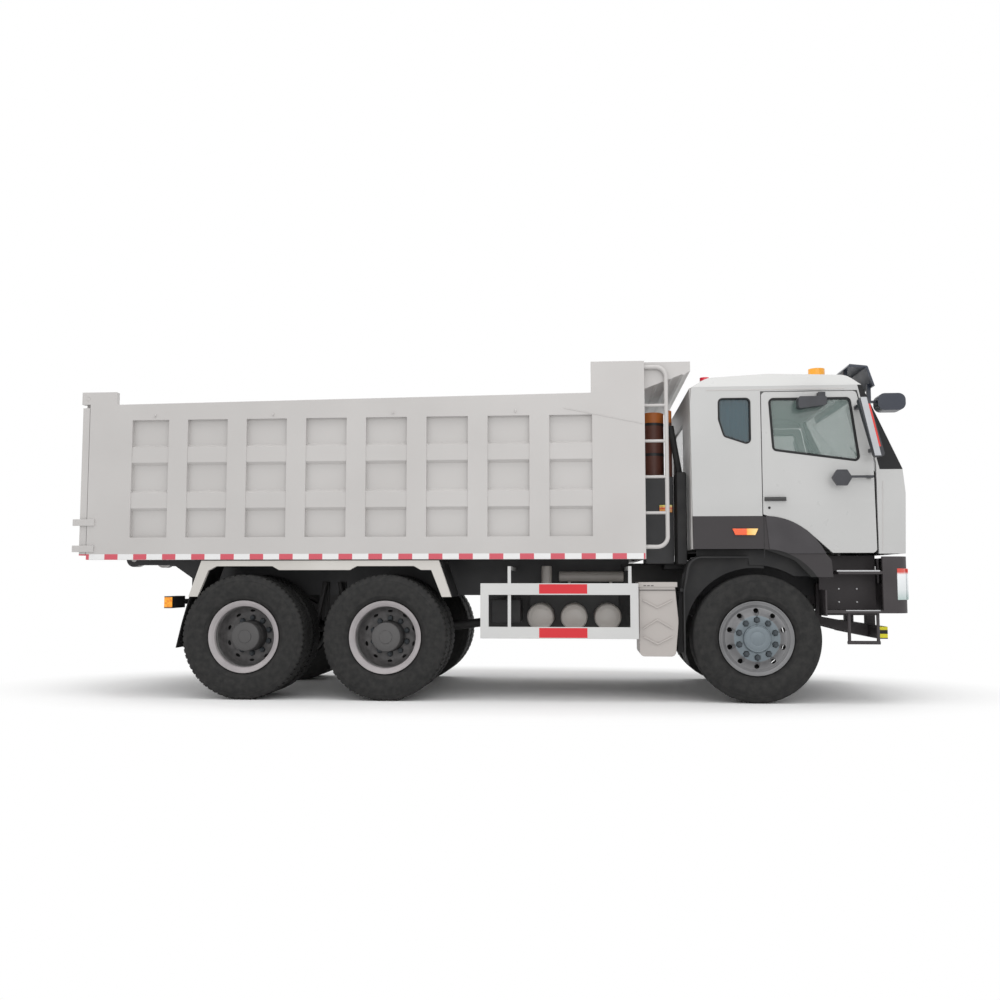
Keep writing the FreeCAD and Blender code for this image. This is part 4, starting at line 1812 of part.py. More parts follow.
def cab_roof(name):
    """Domed roof cap, open below, with its warning beacon and marker dome."""
    hollow = plate(name + "Hollow", "XZ", [[
        (d.cab_rear_x + d.cab_wall * 1.5, d.cab_eave - d.overlap),
        (d.roof_rear_x + d.cab_wall / 2, roof_rear_z - d.cab_wall, d.roof_round - d.cab_wall),
        (d.roof_peak_x, roof_peak_z - d.cab_wall, d.roof_crown_round),
        (d.roof_front_x - d.cab_wall / 2, roof_front_z - d.cab_wall, d.roof_round - d.cab_wall),
        (d.screen_top_x - d.cab_wall * 1.5, d.cab_eave - d.overlap),
    ]], (-cab_in, cab_in))
    cap = less(name + "Cap", roof_shell, [hollow])
    beacon = rod(name + "Beacon", "z", d.beacon_radius, (roof_front_z - d.overlap, d.cab_eave + d.beacon_rise),
                 x=d.beacon_x, y=-d.beacon_y)
    dome = rod(name + "Dome", "z", d.dome_radius, (roof_rear_z - d.cab_wall / 2, roof_rear_z + d.dome_rise),
               x=d.roof_rear_x, y=-d.dome_y)
    return fused(name, [cap, beacon, dome])


keep("cab_roof", cab_roof("CabRoof"))


def cab_floor(name):
    """Floor with the tilt arms and their eyes."""
    low = d.cab_floor_bottom
    pieces = [block(name + "Plate", (d.cab_rear_x + d.cab_wall, d.cab_chin_x - d.cab_wall),
                    (-cab_in, cab_in), (low, low + d.cab_floor_plate))]
    arm_ends = (d.tilt_arm_in, d.tilt_arm_out)
    arm = plate(name + "Arm", "XZ", [[
        (d.tilt_x - d.tilt_eye_radius, d.tilt_z), (d.tilt_x + d.tilt_eye_radius, d.tilt_z),
        (d.tilt_x, low), (d.tilt_x - d.tilt_arm_root, low),
    ]], arm_ends)
    eye = rod(name + "Eye", "y", d.tilt_eye_radius, arm_ends, x=d.tilt_x, z=d.tilt_z)
    bore = rod(name + "Bore", "y", d.tilt_pin_radius + d.fit_gap,
               (d.tilt_arm_in - d.overlap, d.tilt_arm_out + d.overlap), x=d.tilt_x, z=d.tilt_z)
    bored = less(name + "BoredArm", fused(name + "ArmSolid", [arm, eye]), [bore])
    return fused(name, pieces + both_sides(name + "BoredArm", bored))


keep("cab_floor", cab_floor("CabFloor"))


def cab_rear_wall(name):
    outline = [
        (-cab_in, d.cab_sill), (cab_in, d.cab_sill), (cab_in, d.cab_eave), (-cab_in, d.cab_eave),
    ]
    return plate(name, "YZ", [outline, rear_window()], (d.cab_rear_x, d.cab_rear_x + d.cab_wall))


keep("cab_rear_wall", cab_rear_wall("CabRearWall"))


def cab_front(name):
    """Front panel under the windscreen."""
    outline = [
        (d.cab_chin_x - d.cab_wall, d.cab_front_sill), (d.cab_chin_x, d.cab_front_sill),
        (d.cab_nose_x, d.cab_nose_z), (d.screen_base_x, d.screen_base_z),
        (d.screen_base_x - d.pillar_width, d.screen_base_z), (d.cab_nose_x - d.cab_wall, d.cab_nose_z),
    ]
    return plate(name, "XZ", [outline], (-cab_in, cab_in))


keep("cab_front_panel", cab_front("CabFrontPanel"))


def windscreen(name):
    """Leaning glass between the pillars."""
    face = d.screen_inset
    back = d.screen_inset + d.glass
    outline = [
        (d.screen_base_x - face, d.screen_base_z), (d.screen_base_x - back, d.screen_base_z),
        (d.screen_top_x - back, d.cab_eave), (d.screen_top_x - face, d.cab_eave),
    ]
    half = cab_in - d.pillar_width
    return plate(name, "XZ", [outline], (-half, half))


rear_glass_x = d.cab_rear_x + d.cab_wall / 2
panes = [
    windscreen("Windscreen"),
    plate("RearGlass", "YZ", [rear_window()], (rear_glass_x - d.glass / 2, rear_glass_x + d.glass / 2)),
]
panes += both_sides("QuarterGlass", plate("QuarterGlass", "XZ", [quarter_window()], glass_ends))
keep("cab_glass", grouped("CabGlass", panes))


def sun_visor(name):
    """Visor over the windscreen, bent down at its front, on two arms that stand on the roof."""
    x, z = d.screen_top_x, d.cab_eave
    front, low, sheet = d.visor_front, z + d.visor_low, d.visor_sheet
    blade = plate(name + "Blade", "XZ", [[
        (x - d.visor_rear, z + d.visor_rise - sheet * 1.5),
        (x - d.visor_rear + sheet, z + d.visor_rise),
        (x + front - d.visor_fall, z + d.visor_rise - sheet, 20),
        (x + front, low), (x + front - sheet, low),
        (x + front - d.visor_fall - sheet, z + d.visor_rise - sheet * 2),
    ]], (d.visor_inset - d.body_half, d.body_half - d.visor_inset))
    arm = plate(name + "Arm", "XZ", [[
        (x - d.visor_rear - sheet, z), (x - d.visor_rear / 2, z),
        (x - d.visor_rear / 2, z + d.visor_rise - sheet), (x - d.visor_rear + sheet, z + d.visor_rise - sheet),
    ]], (d.visor_arm_y - sheet, d.visor_arm_y + sheet))
    standing = less(name + "StandingArm", arm, [roof_shell])
    return [blade] + both_sides(name + "StandingArm", standing)


def front_mirror(name):
    """Mirror that looks down over the nose, on an arm from the visor's corner."""
    x, z, y = d.screen_top_x, d.cab_eave - d.nose_mirror_drop, -d.nose_mirror_y
    half, bar = d.nose_mirror_half, d.mirror_arm
    rear, front = x + d.nose_mirror_rear, x + d.nose_mirror_front
    head = plate(name + "Head", "XZ", [[
        (rear, z - half, half * 0.8), (front, z - half, half * 0.8),
        (front, z + half, half * 0.8), (rear, z + half, half * 0.8),
    ]], (y - half, y + half))
    arm = block(name + "Arm", (x + d.visor_rear, rear + half), (y - bar, y + bar), (z, z + bar))
    stem = block(name + "Stem", (x + d.visor_rear, x + d.visor_front - d.visor_sheet / 2), (y - bar, y + bar),
                 (z, d.cab_eave + d.visor_low + d.visor_sheet * 2))
    return [head, arm, stem]


keep("sun_visor", fused("VisorAndMirror", sun_visor("SunVisor") + front_mirror("FrontMirror")))


def seats(name):
    """Two seats, each a pedestal, a cushion and a leaning back."""
    pair = []
    inset, sit = d.seat_base_inset, d.seat_base_top + d.seat_cushion
    rear, front = d.seat_rear_x, d.seat_rear_x + d.seat_length
    for index, y in enumerate((-d.seat_y, d.seat_y)):
        low, high = y - d.seat_half, y + d.seat_half
        base = block(f"{name}Base{index}", (rear + inset, front - inset), (low + inset, high - inset),
                     (d.cab_floor_bottom + d.cab_floor_plate, d.seat_base_top))
        cushion = block(f"{name}Cushion{index}", (rear, front), (low, high), (d.seat_base_top, sit))
        back = plate(f"{name}Back{index}", "XZ", [[
            (rear, sit), (rear + d.seat_back, sit),
            (rear + d.seat_back - d.seat_lean, sit + d.seat_back_tall),
            (rear - d.seat_lean, sit + d.seat_back_tall),
        ]], (low, high))
        pair.append(fused(f"{name}{index}", [base, cushion, back]))
    return grouped(name, pair)


keep("seats", seats("Seats"))


def dashboard(name):
    """Dashboard against the front panel, its top sloping to the driver."""
    rear, low, high = d.dash_rear_x, d.dash_low, d.dash_high
    outline = [
        (rear + d.dash_lip, low), (d.cab_chin_x - d.cab_wall, low),
        (d.cab_nose_x - d.cab_wall - d.fit_gap, d.cab_nose_z),
        (d.screen_base_x - d.pillar_width, high - d.dash_lip / 2),
        (rear + d.dash_lip * 2, high), (rear, high - d.dash_lip),
    ]
    half = cab_in - d.dash_inset
    return plate(name, "XZ", [outline], (-half, half))


def steering_wheel(name):
    """Wheel with a spoke across it, on a column that runs into the dashboard."""
    ring = doc.addObject("Part::Torus", name + "Ring")
    bind(ring, "Radius1", d.steering_radius)
    bind(ring, "Radius2", d.steering_grip)
    lean = FreeCAD.Rotation(Vector(0, 1, 0), 35)
    ring.Placement.Rotation = lean
    place(ring, x=d.steering_x, y=d.seat_y, z=d.steering_z)
    column = doc.addObject("Part::Cylinder", name + "Column")
    bind(column, "Radius", d.steering_grip * 2)
    bind(column, "Height", d.steering_radius * 1.5)
    column.Placement.Rotation = FreeCAD.Rotation(Vector(0, 1, 0), 125)
    place(column, x=d.steering_x - d.steering_grip / 2, y=d.seat_y, z=d.steering_z + d.steering_grip / 2)
    spoke = block(name + "Spoke", (-d.steering_grip, d.steering_grip), (-d.steering_radius, d.steering_radius),
                  (-d.steering_grip / 2, d.steering_grip / 2))
    spoke.Placement.Rotation = lean
    place(spoke, x=d.steering_x, y=d.seat_y - d.steering_radius, z=d.steering_z)
    return fused(name, [ring, column, spoke])


keep("dashboard", fused("DashboardAndWheel", [dashboard("Dashboard"), steering_wheel("SteeringWheel")]))


# ---------------------------------------------------------------- doors

def door_window():
    """Outline of a door's window: its sill drops towards the front."""
    high = door_top - d.window_drop
    return [
        (d.door_rear_x + d.window_rear, high, d.window_rounding),
        (d.door_rear_x + d.window_rear * 1.5, d.window_sill_rear, d.window_rounding),
        (d.door_corner_x + d.window_front / 2, d.window_sill_front, d.window_rounding),
        (d.door_corner_x - d.window_front, high, d.window_rounding),
    ]


def door(name):
    """Door panel with its window and pull handle."""
    gap = d.door_gap
    outline = [
        (d.door_rear_x, d.flare_high_z + gap * 2),
        (d.flare_knee_x + gap, d.flare_knee_z + gap * 1.5, d.flare_edge_round),
        (d.flare_front_x + gap * 2, d.door_bottom),
        (d.door_front_x, d.door_bottom, d.door_round),
        (d.door_bend_x, d.door_bend_z, d.door_bend_round),
        (d.door_corner_x, door_top, d.door_round),
        (d.door_rear_x, door_top, d.door_round),
    ]
    panel = plate(name + "Panel", "XZ", [outline, door_window()], (cab_in, d.body_half))
    handle_x = d.door_rear_x + d.handle_rear
    handle = block(name + "Handle", (handle_x, handle_x + d.handle_long),
                   (d.body_half, d.body_half + d.handle_reach), (d.handle_z, d.handle_z + d.handle_tall))
    return fused(name, [panel, handle])


left_door = keep("door_left", door("Door"))
keep("door_right", mirrored("DoorRight", left_door))
left_glass = keep("door_glass_left", plate("DoorGlass", "XZ", [door_window()], glass_ends))
keep("door_glass_right", mirrored("DoorGlassRight", left_glass))


def main_mirror(name):
    """Tall mirror beside the pillar, on two arms from the door's frame."""
    head_in = d.body_half + d.mirror_reach
    head_ends = (head_in, head_in + d.mirror_thickness)
    low_x, high_x = d.door_bend_x - d.mirror_set_back, d.door_corner_x - d.mirror_set_back
    wide, bar = d.mirror_width, d.mirror_arm
    head = plate(name + "Head", "XZ", [[
        (low_x, d.mirror_low, d.mirror_round), (low_x + wide, d.mirror_low, d.mirror_round),
        (high_x + wide, d.mirror_high, d.mirror_round), (high_x, d.mirror_high, d.mirror_round),
    ]], head_ends)
    arms = [
        block(f"{name}Arm{index}", (x, x + bar * 2), (d.body_half, head_in + d.mirror_thickness / 2),
              (z, z + bar * 1.5))
        for index, (x, z) in enumerate((
            (low_x, d.mirror_low + bar * 3), (high_x + bar, d.mirror_high - bar * 4),
        ))
    ]
    return fused(name, [head] + arms)


def kerb_mirror(name):
    """Flat mirror over the window, that looks down at the kerb."""
    high = door_top - d.kerb_mirror_drop
    rear, front = d.kerb_mirror_x, d.kerb_mirror_x + d.kerb_mirror_long
    head = plate(name + "Head", "XZ", [[
        (rear, high - d.kerb_mirror_tall, d.mirror_arm), (front, high - d.kerb_mirror_tall * 0.7, d.mirror_arm),
        (front, high, d.mirror_arm), (rear, high, d.mirror_arm),
    ]], (d.body_half + d.mirror_arm * 2, d.body_half + d.mirror_reach))
    bracket = block(name + "Bracket", (front - d.mirror_arm * 3, front),
                    (d.body_half, d.body_half + d.mirror_arm * 4),
                    (high - d.mirror_arm, door_top - d.mirror_arm))
    return fused(name, [head, bracket])


def low_mirror(name):
    """Six-sided wide-angle mirror under the tall one, on a bent arm."""
    x, z, wide, tall, bar = d.low_mirror_x, d.low_mirror_z, d.low_mirror_wide, d.low_mirror_tall, d.mirror_arm
    reach = d.body_half + d.low_mirror_reach
    head = plate(name + "Head", "XZ", [[
        (x - wide, z), (x - wide / 2, z - tall), (x + wide / 2, z - tall),
        (x + wide, z), (x + wide / 2, z + tall), (x - wide / 2, z + tall),
    ]], (reach, reach + bar * 2))
    root = d.door_bend_x - d.mirror_set_back
    arm = block(name + "Arm", (x, root + bar), (reach - bar, reach + bar / 2), (z, z + bar))
    stub = block(name + "Stub", (root - bar, root + bar), (d.body_half, reach), (z, z + bar))
    return fused(name, [head, arm, stub])


left_mirrors = keep("door_mirror_left", grouped("DoorMirrors", [
    main_mirror("MainMirror"), kerb_mirror("KerbMirror"), low_mirror("LowMirror"),
]))
keep("door_mirror_right", mirrored("DoorMirrorsRight", left_mirrors))


# ---------------------------------------------------------------- check and write

doc.recompute()
for thing in doc.Objects:
    if "Invalid" in thing.State or "Error" in thing.State:
        raise RuntimeError(f"{thing.Name} failed: {thing.State}")
for thing in nodes:
    if thing.Shape.isNull() or not thing.Shape.isValid():
        raise RuntimeError(f"{thing.Label} has no valid shape")

os.makedirs("parts", exist_ok=True)
for thing in nodes:
    thing.Shape.exportStep(f"parts/{thing.Label}.step")
print(len(nodes), "nodes")
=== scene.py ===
import bpy
import json
import math
from mathutils import Matrix, Vector


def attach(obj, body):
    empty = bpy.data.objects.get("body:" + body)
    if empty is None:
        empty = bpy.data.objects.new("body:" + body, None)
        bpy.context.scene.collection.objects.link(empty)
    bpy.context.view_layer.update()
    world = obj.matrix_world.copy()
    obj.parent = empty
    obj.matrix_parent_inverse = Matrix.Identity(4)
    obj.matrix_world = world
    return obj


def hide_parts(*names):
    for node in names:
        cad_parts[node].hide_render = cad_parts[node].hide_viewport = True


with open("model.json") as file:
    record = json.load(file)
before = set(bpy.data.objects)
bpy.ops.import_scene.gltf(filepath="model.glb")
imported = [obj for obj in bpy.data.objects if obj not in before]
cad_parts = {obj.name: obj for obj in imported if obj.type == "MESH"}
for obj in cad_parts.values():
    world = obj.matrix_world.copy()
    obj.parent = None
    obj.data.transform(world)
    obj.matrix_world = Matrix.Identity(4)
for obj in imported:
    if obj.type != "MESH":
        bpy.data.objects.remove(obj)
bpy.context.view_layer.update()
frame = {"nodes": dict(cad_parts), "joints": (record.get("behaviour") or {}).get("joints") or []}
nodes = frame["nodes"]


# ---------------------------------------------------------------- camera, floor and light
# The truck stands on a pale studio floor that runs off to white.  The camera looks at its
# right-hand side from hip height, with one soft lamp overhead and one behind the camera.

scene = bpy.context.scene
scene.view_settings.view_transform = "Standard"
camera = bpy.data.objects.new("camera", bpy.data.cameras.new("camera"))
scene.collection.objects.link(camera)
camera.data.lens = 36.47
camera.data.sensor_width = 36
camera.data.clip_end = 200
camera.location = (0.914, -10.462, 1.104)
camera.rotation_euler = (math.radians(90 + 4.49), 0, math.radians(4.56))
scene.camera = camera


class Shade:
    """A shader value, for sums written with Python's own signs."""

    def __init__(self, finish, link):
        self.finish = finish
        self.link = link

    def maths(self, operation, *values):
        return self.finish.node("ShaderNodeMath", {"operation": operation}, dict(enumerate(values)))

    def __add__(self, other):
        return self.maths("ADD", self, other)

    def __radd__(self, other):
        return self.maths("ADD", other, self)

    def __sub__(self, other):
        return self.maths("SUBTRACT", self, other)

    def __rsub__(self, other):
        return self.maths("SUBTRACT", other, self)

    def __mul__(self, other):
        return self.maths("MULTIPLY", self, other)

    def __rmul__(self, other):
        return self.maths("MULTIPLY", other, self)

    def __lt__(self, other):
        return self.maths("LESS_THAN", self, other)

    def __gt__(self, other):
        return self.maths("GREATER_THAN", self, other)

    def __abs__(self):
        return self.maths("ABSOLUTE", self)

    def fraction(self):
        """What is left past the last whole number, for stripes that repeat."""
        return self.maths("FRACT", self)

    def between(self, low, high):
        return (self > low) * (self < high)


class Finish:
    """A paint, plastic, metal or rubber: one Principled shader and what varies over it."""

    def __init__(self, name, color, roughness, **fixed):
        self.material = bpy.data.materials.new(name)
        self.material.use_nodes = True
        self.tree = self.material.node_tree
        self.shader = self.tree.nodes["Principled BSDF"]
        self.shader.inputs["Base Color"].default_value = (*color, 1)
        self.shader.inputs["Roughness"].default_value = roughness
        for socket, value in fixed.items():
            self.shader.inputs[socket.replace("_", " ")].default_value = value
        self.place = self.node("ShaderNodeTexCoord", {}, {}, "Object")

    def node(self, kind, settings, inputs, output=0):
        """Any node: its settings first, then its sockets' values or links."""
        node = self.tree.nodes.new(kind)
        for setting, value in settings.items():
            if setting == "stops":
                elements = node.color_ramp.elements
                while len(elements) < len(value):
                    elements.new(1)
                for element, (position, color) in zip(elements, value):
                    element.position = position
                    element.color = (*color, 1)
            else:
                setattr(node, setting, value)
        for socket, value in inputs.items():
            if isinstance(value, Shade):
                self.tree.links.new(value.link, node.inputs[socket])
            else:
                node.inputs[socket].default_value = value
        return Shade(self, node.outputs[output])

    def axis(self, name):
        return self.node("ShaderNodeSeparateXYZ", {}, {0: self.place}, name)

    def grain(self, size, stretch=(1, 1, 1), detail=3):
        """Noise with features of about a size in metres."""
        place = self.node("ShaderNodeMapping", {}, {"Vector": self.place, "Scale": stretch})
        return self.node("ShaderNodeTexNoise", {}, {"Vector": place, "Scale": 1 / size, "Detail": detail})

    def ramp(self, value, *stops):
        """A colour for each value, given as (value, colour) stops."""
        stops = [(at, (c, c, c) if isinstance(c, float) else c) for at, c in stops]
        return self.node("ShaderNodeValToRGB", {"stops": stops}, {0: value})

    def mottled(self, size, dark, light):
        """A drift between two tones, in patches of about a size in metres."""
        return self.ramp(self.grain(size), (0.3, dark), (0.7, light))

    def blend(self, factor, first, second):
        """The first colour, and the second one where the factor is 1."""
        first, second = [(*c, 1) if isinstance(c, tuple) else c for c in (first, second)]
        inputs = {"Factor": factor, 6: first, 7: second}
        return self.node("ShaderNodeMix", {"data_type": "RGBA"}, inputs, 2)

    def feed(self, socket, value):
        self.tree.links.new(value.link, self.shader.inputs[socket])

    def relief(self, height, depth, strength=1.0):
        """Small relief of a depth in metres."""
        inputs = {"Strength": strength, "Distance": depth, "Height": height}
        self.feed("Normal", self.node("ShaderNodeBump", {}, inputs))


def deselect():
    """Leave edit mode, with nothing selected."""
    if bpy.context.object and bpy.context.object.mode != "OBJECT":
        bpy.ops.object.mode_set(mode="OBJECT")
    bpy.ops.object.select_all(action="DESELECT")


deselect()
bpy.ops.mesh.primitive_plane_add(size=160, location=(0, 0, -0.001))
floor = bpy.context.object
floor.name = "studio_floor"
floor_finish = Finish("studio floor", (0.9, 0.9, 0.9), 0.9, Specular_IOR_Level=0.0, Emission_Strength=1.0)
along, across = floor_finish.axis("X") * (1 / 5.4), floor_finish.axis("Y") * (1 / 2.7)
away = floor_finish.ramp(along * along + across * across, (0.55, 0.0), (1.0, 1.0))
near = floor_finish.mottled(2.0, 0.86, 0.88)
floor_finish.feed("Base Color", floor_finish.blend(away, near, (0.0, 0.0, 0.0)))
floor_finish.feed("Emission Color", away)
floor.data.materials.append(floor_finish.material)

world = bpy.data.worlds.new("studio")
scene.world = world
world.use_nodes = True
world.node_tree.nodes["Background"].inputs["Color"].default_value = (1, 1, 1, 1)
world.node_tree.nodes["Background"].inputs["Strength"].default_value = 1.0


def soft_lamp(name, place, aim, size, power):
    lamp = bpy.data.objects.new(name, bpy.data.lights.new(name, "AREA"))
    scene.collection.objects.link(lamp)
    lamp.data.shape = "RECTANGLE"
    lamp.data.size, lamp.data.size_y = size
    lamp.data.energy = power
    lamp.location = place
    lamp.rotation_euler = (Vector(aim) - Vector(place)).to_track_quat("-Z", "Y").to_euler()


soft_lamp("overhead_lamp", place=(0, -2, 8), aim=(0, 0, 0), size=(12, 6), power=270)
soft_lamp("front_lamp", place=(3, -12, 5), aim=(0, 0, 1.5), size=(10, 5), power=180)


# ---------------------------------------------------------------- ladder frame and tipping subframe
# Two pressed channels joined by round cross-members, with the subframe that carries the
# bed on top of them.  All of it is steel, sprayed satin black after assembly.


def painted(name, color, roughness=0.32, worn=0.06, **fixed):
    """Sprayed paint: a slight drift of tone, dull patches and a fine orange-peel skin."""
    finish = Finish(name, color, roughness, **fixed)
    dark = tuple(c * (1 - worn) for c in color)
    light = tuple(min(1, c * (1 + worn)) for c in color)
    finish.feed("Base Color", finish.mottled(0.9, dark, light))
    finish.feed("Roughness", finish.grain(0.12) * 0.16 + (roughness - 0.08))
    finish.relief(finish.grain(0.006), 0.0002, 0.25)
    return finish


chassis_paint = painted("chassis black", (0.022, 0.022, 0.024), 0.45)


def choose(*pieces):
    """Select these pieces and nothing else, with the first one active."""
    deselect()
    for piece in pieces:
        piece.select_set(True)
    bpy.context.view_layer.objects.active = pieces[0]


def edit(piece, select="SELECT"):
    """Work on one piece in edit mode, with all or none of it selected."""
    choose(piece)
    bpy.ops.object.mode_set(mode="EDIT")
    bpy.ops.mesh.select_all(action=select)


def modify(piece, kind, **settings):
    """Add one modifier and apply it."""
    choose(piece)
    modifier = piece.modifiers.new(kind.title(), kind)
    for setting, value in settings.items():
        setattr(modifier, setting, value)
    bpy.ops.object.modifier_apply(modifier=modifier.name)


def smooth(piece, angle=35):
    choose(piece)
    bpy.ops.object.shade_smooth_by_angle(angle=math.radians(angle))


def rounded(piece, width, segments=2, angle=30, clamp=False):
    """Break the sharp edges, as a press, a welder's grinder or a mould does."""
    modify(piece, "BEVEL", width=width, segments=segments, limit_method="ANGLE",
           angle_limit=math.radians(angle), use_clamp_overlap=clamp)
    smooth(piece)
    modify(piece, "WEIGHTED_NORMAL", keep_sharp=True)


def fit(piece, finish, body, slot, *replaced):
    """Give a piece its finish and the body it moves with, with its place in its mesh."""
    choose(piece)
    bpy.ops.object.transform_apply(location=True, rotation=True, scale=True)
    piece.data.materials.clear()
    piece.data.materials.append(finish.material)
    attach(piece, body)
    if replaced:
        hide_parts(*replaced)
    return piece


def merged(node, name):
    """A copy of a node of the model, its doubled points and its flat faces joined."""
    piece = bpy.data.objects.new(name, nodes[node].data.copy())
    scene.collection.objects.link(piece)
    edit(piece)
    bpy.ops.mesh.remove_doubles(threshold=0.0002)
    bpy.ops.mesh.dissolve_limited(angle_limit=math.radians(0.5))
    deselect()
    return piece


def dressed(node, finish, body, slot, width=0.004):
    """A node of the model with its edges broken and its own finish."""
    piece = merged(node, node + "_dressed")
    rounded(piece, width, clamp=True)
    return fit(piece, finish, body, slot, node)


dressed("chassis_frame", chassis_paint, "chassis", "chassis_black")
dressed("tipping_subframe", chassis_paint, "chassis", "chassis_black")


# ---------------------------------------------------------------- axles, knuckles and springs
# Forged and cast steel in the same black as the frame: a dropped beam with steering knuckles
# in front, two driven axles behind, all carried by stacks of spring leaves.

cast_paint = painted("cast black", (0.028, 0.027, 0.027), 0.6, 0.15)
cast_paint.relief(cast_paint.grain(0.004), 0.0006, 0.6)
for node in ("front_axle", "driven_axles"):
    dressed(node, cast_paint, "chassis", "chassis_black")
for node in ("knuckle_left", "knuckle_right", "tie_rod"):
    dressed(node, cast_paint, node, "chassis_black")
dressed("leaf_springs", cast_paint, "chassis", "chassis_black", 0.002)
dressed("propeller_shafts", cast_paint, "chassis", "chassis_black")


def bar(name, start, end, radius, sides=16):
    """A round bar between two points, its ends chamfered."""
    start, end = Vector(start), Vector(end)
    deselect()
    bpy.ops.mesh.primitive_cylinder_add(vertices=sides, radius=radius, depth=(end - start).length,
                                        location=(start + end) / 2,
                                        rotation=(end - start).to_track_quat("Z", "Y").to_euler())
    piece = bpy.context.object
    piece.name = name
    bpy.ops.object.transform_apply(location=True, rotation=True, scale=True)
    rounded(piece, radius * 0.2, angle=60)
    return piece


def joined(name, pieces):
    """Pieces that are welded or clipped together."""
    choose(*pieces)
    bpy.ops.object.join()
    pieces[0].name = name
    return pieces[0]


def copied(piece, name, move=(0, 0, 0), mirror=False):
    """A copy with its own mesh, moved, and then mirrored to the truck's other side."""
    copy = bpy.data.objects.new(name, piece.data.copy())
    scene.collection.objects.link(copy)
    copy.data.transform(Matrix.Translation(move))
    if mirror:
        copy.data.transform(Matrix.Scale(-1, 4, (0, 1, 0)))
        copy.data.flip_normals()
    return copy


def paired(piece, finish, body, slot):
    """Fit a piece of the right-hand side and its mirror image on the left."""
    fit(copied(piece, piece.name + "_left", mirror=True), finish, body.replace("right", "left"), slot)
    fit(piece, finish, body, slot)


bolt_y, rod_y, seat_z = -0.445, -0.50, 1.08
rods = [bar(f"spring_bolt_{index}", (x, bolt_y, 0.70), (x, bolt_y, seat_z), 0.011, 8)
        for index, x in enumerate((-1.660, -1.610, -1.490, -1.440))]
for index, (high_x, low_x) in enumerate(((-1.62, -1.72), (-1.48, -1.38))):
    rods.append(bar(f"torque_rod_{index}", (high_x, rod_y, seat_z), (low_x, rod_y, 0.62), 0.022))
paired(joined("bogie_rods_right", rods), cast_paint, "chassis", "chassis_black")


# ---------------------------------------------------------------- tyres
# Radial truck tyres of black rubber: ribbed tread on the steered axle, cross-cut blocks on
# the driven ones, moulded in one piece with fine rings round the side walls.

pivots = {joint["name"]: joint["pos_m"] for joint in frame["joints"] if joint["type"] == "hinge"}
front_axle_x, front_tyre_y, axle_z = pivots["front_wheel_left_spin"]
middle_axle_x = pivots["twin_wheel_middle_left_spin"][0]
rear_axle_x = pivots["twin_wheel_rear_left_spin"][0]
twin_outer_y, twin_inner_y = 1.092, 0.747

rubber = Finish("tyre rubber", (0.024, 0.024, 0.025), 0.75, Specular_IOR_Level=0.28)
rubber_dust = rubber.grain(0.05, detail=5)
dust_and_shade = rubber.ramp(rubber_dust, (0.35, (0.014, 0.014, 0.014)), (0.75, (0.031, 0.030, 0.029)))
rubber.feed("Base Color", dust_and_shade)
rubber.feed("Roughness", rubber_dust * 0.25 + 0.6)
rubber.relief(rubber.grain(0.002), 0.0002, 0.4)


def outlined(name, places):
    """A closed wire through some places."""
    deselect()
    bpy.ops.mesh.primitive_circle_add(vertices=len(places), fill_type="NOTHING")
    piece = bpy.context.object
    piece.name = name
    for vertex, place in zip(piece.data.vertices, places):
        vertex.co = place
    return piece


def turned(name, outline, x, steps):
    """Spin a closed outline of (radius, outward) points about an axle."""
    piece = outlined(name, [(x, outward, axle_z + radius) for radius, outward in outline])
    edit(piece)
    bpy.ops.mesh.spin(steps=steps, angle=2 * math.pi, center=(x, 0, axle_z), axis=(0, 1, 0))
    bpy.ops.mesh.select_all(action="SELECT")
    bpy.ops.mesh.remove_doubles(threshold=0.00002)
    bpy.ops.mesh.normals_make_consistent(inside=False)
    smooth(piece)
    return piece


def pick(piece, test):
    """Edit one piece with only the faces that pass a test selected."""
    edit(piece, "DESELECT")
    bpy.ops.object.mode_set(mode="OBJECT")
    bpy.context.tool_settings.mesh_select_mode = (False, False, True)
    for face in piece.data.polygons:
        face.select = test(face)
    bpy.ops.object.mode_set(mode="EDIT")


tread_radius = axle_z


def tyre_outline(grooves, groove_depth):
    """Half a tyre's section from the bead over the wall and the tread, and its mirror image."""
    wall = [
        (0.3066, 0.086), (0.3066, 0.1005), (0.337, 0.1008), (0.345, 0.112), (0.358, 0.128),
        (0.374, 0.1385), (0.377, 0.1415), (0.384, 0.1440), (0.387, 0.1435), (0.420, 0.1530),
        (0.455, 0.1575), (0.490, 0.1560), (0.515, 0.1505), (0.518, 0.1518), (0.526, 0.1500),
        (0.529, 0.1475), (0.548, 0.1425), (0.553, 0.1400), (0.566, 0.1350), (0.5735, 0.1260),
        (tread_radius, 0.1180),
    ]
    tread = []
    for middle, half in grooves:
        tread += [
            (tread_radius, middle + half), (tread_radius - groove_depth, middle + half * 0.6),
            (tread_radius - groove_depth, middle - half * 0.6), (tread_radius, middle - half),
        ]
    outer = wall + tread
    return outer + [(radius, -outward) for radius, outward in reversed(outer)]


shoulder_radius, cut_scale = 0.552, 0.987


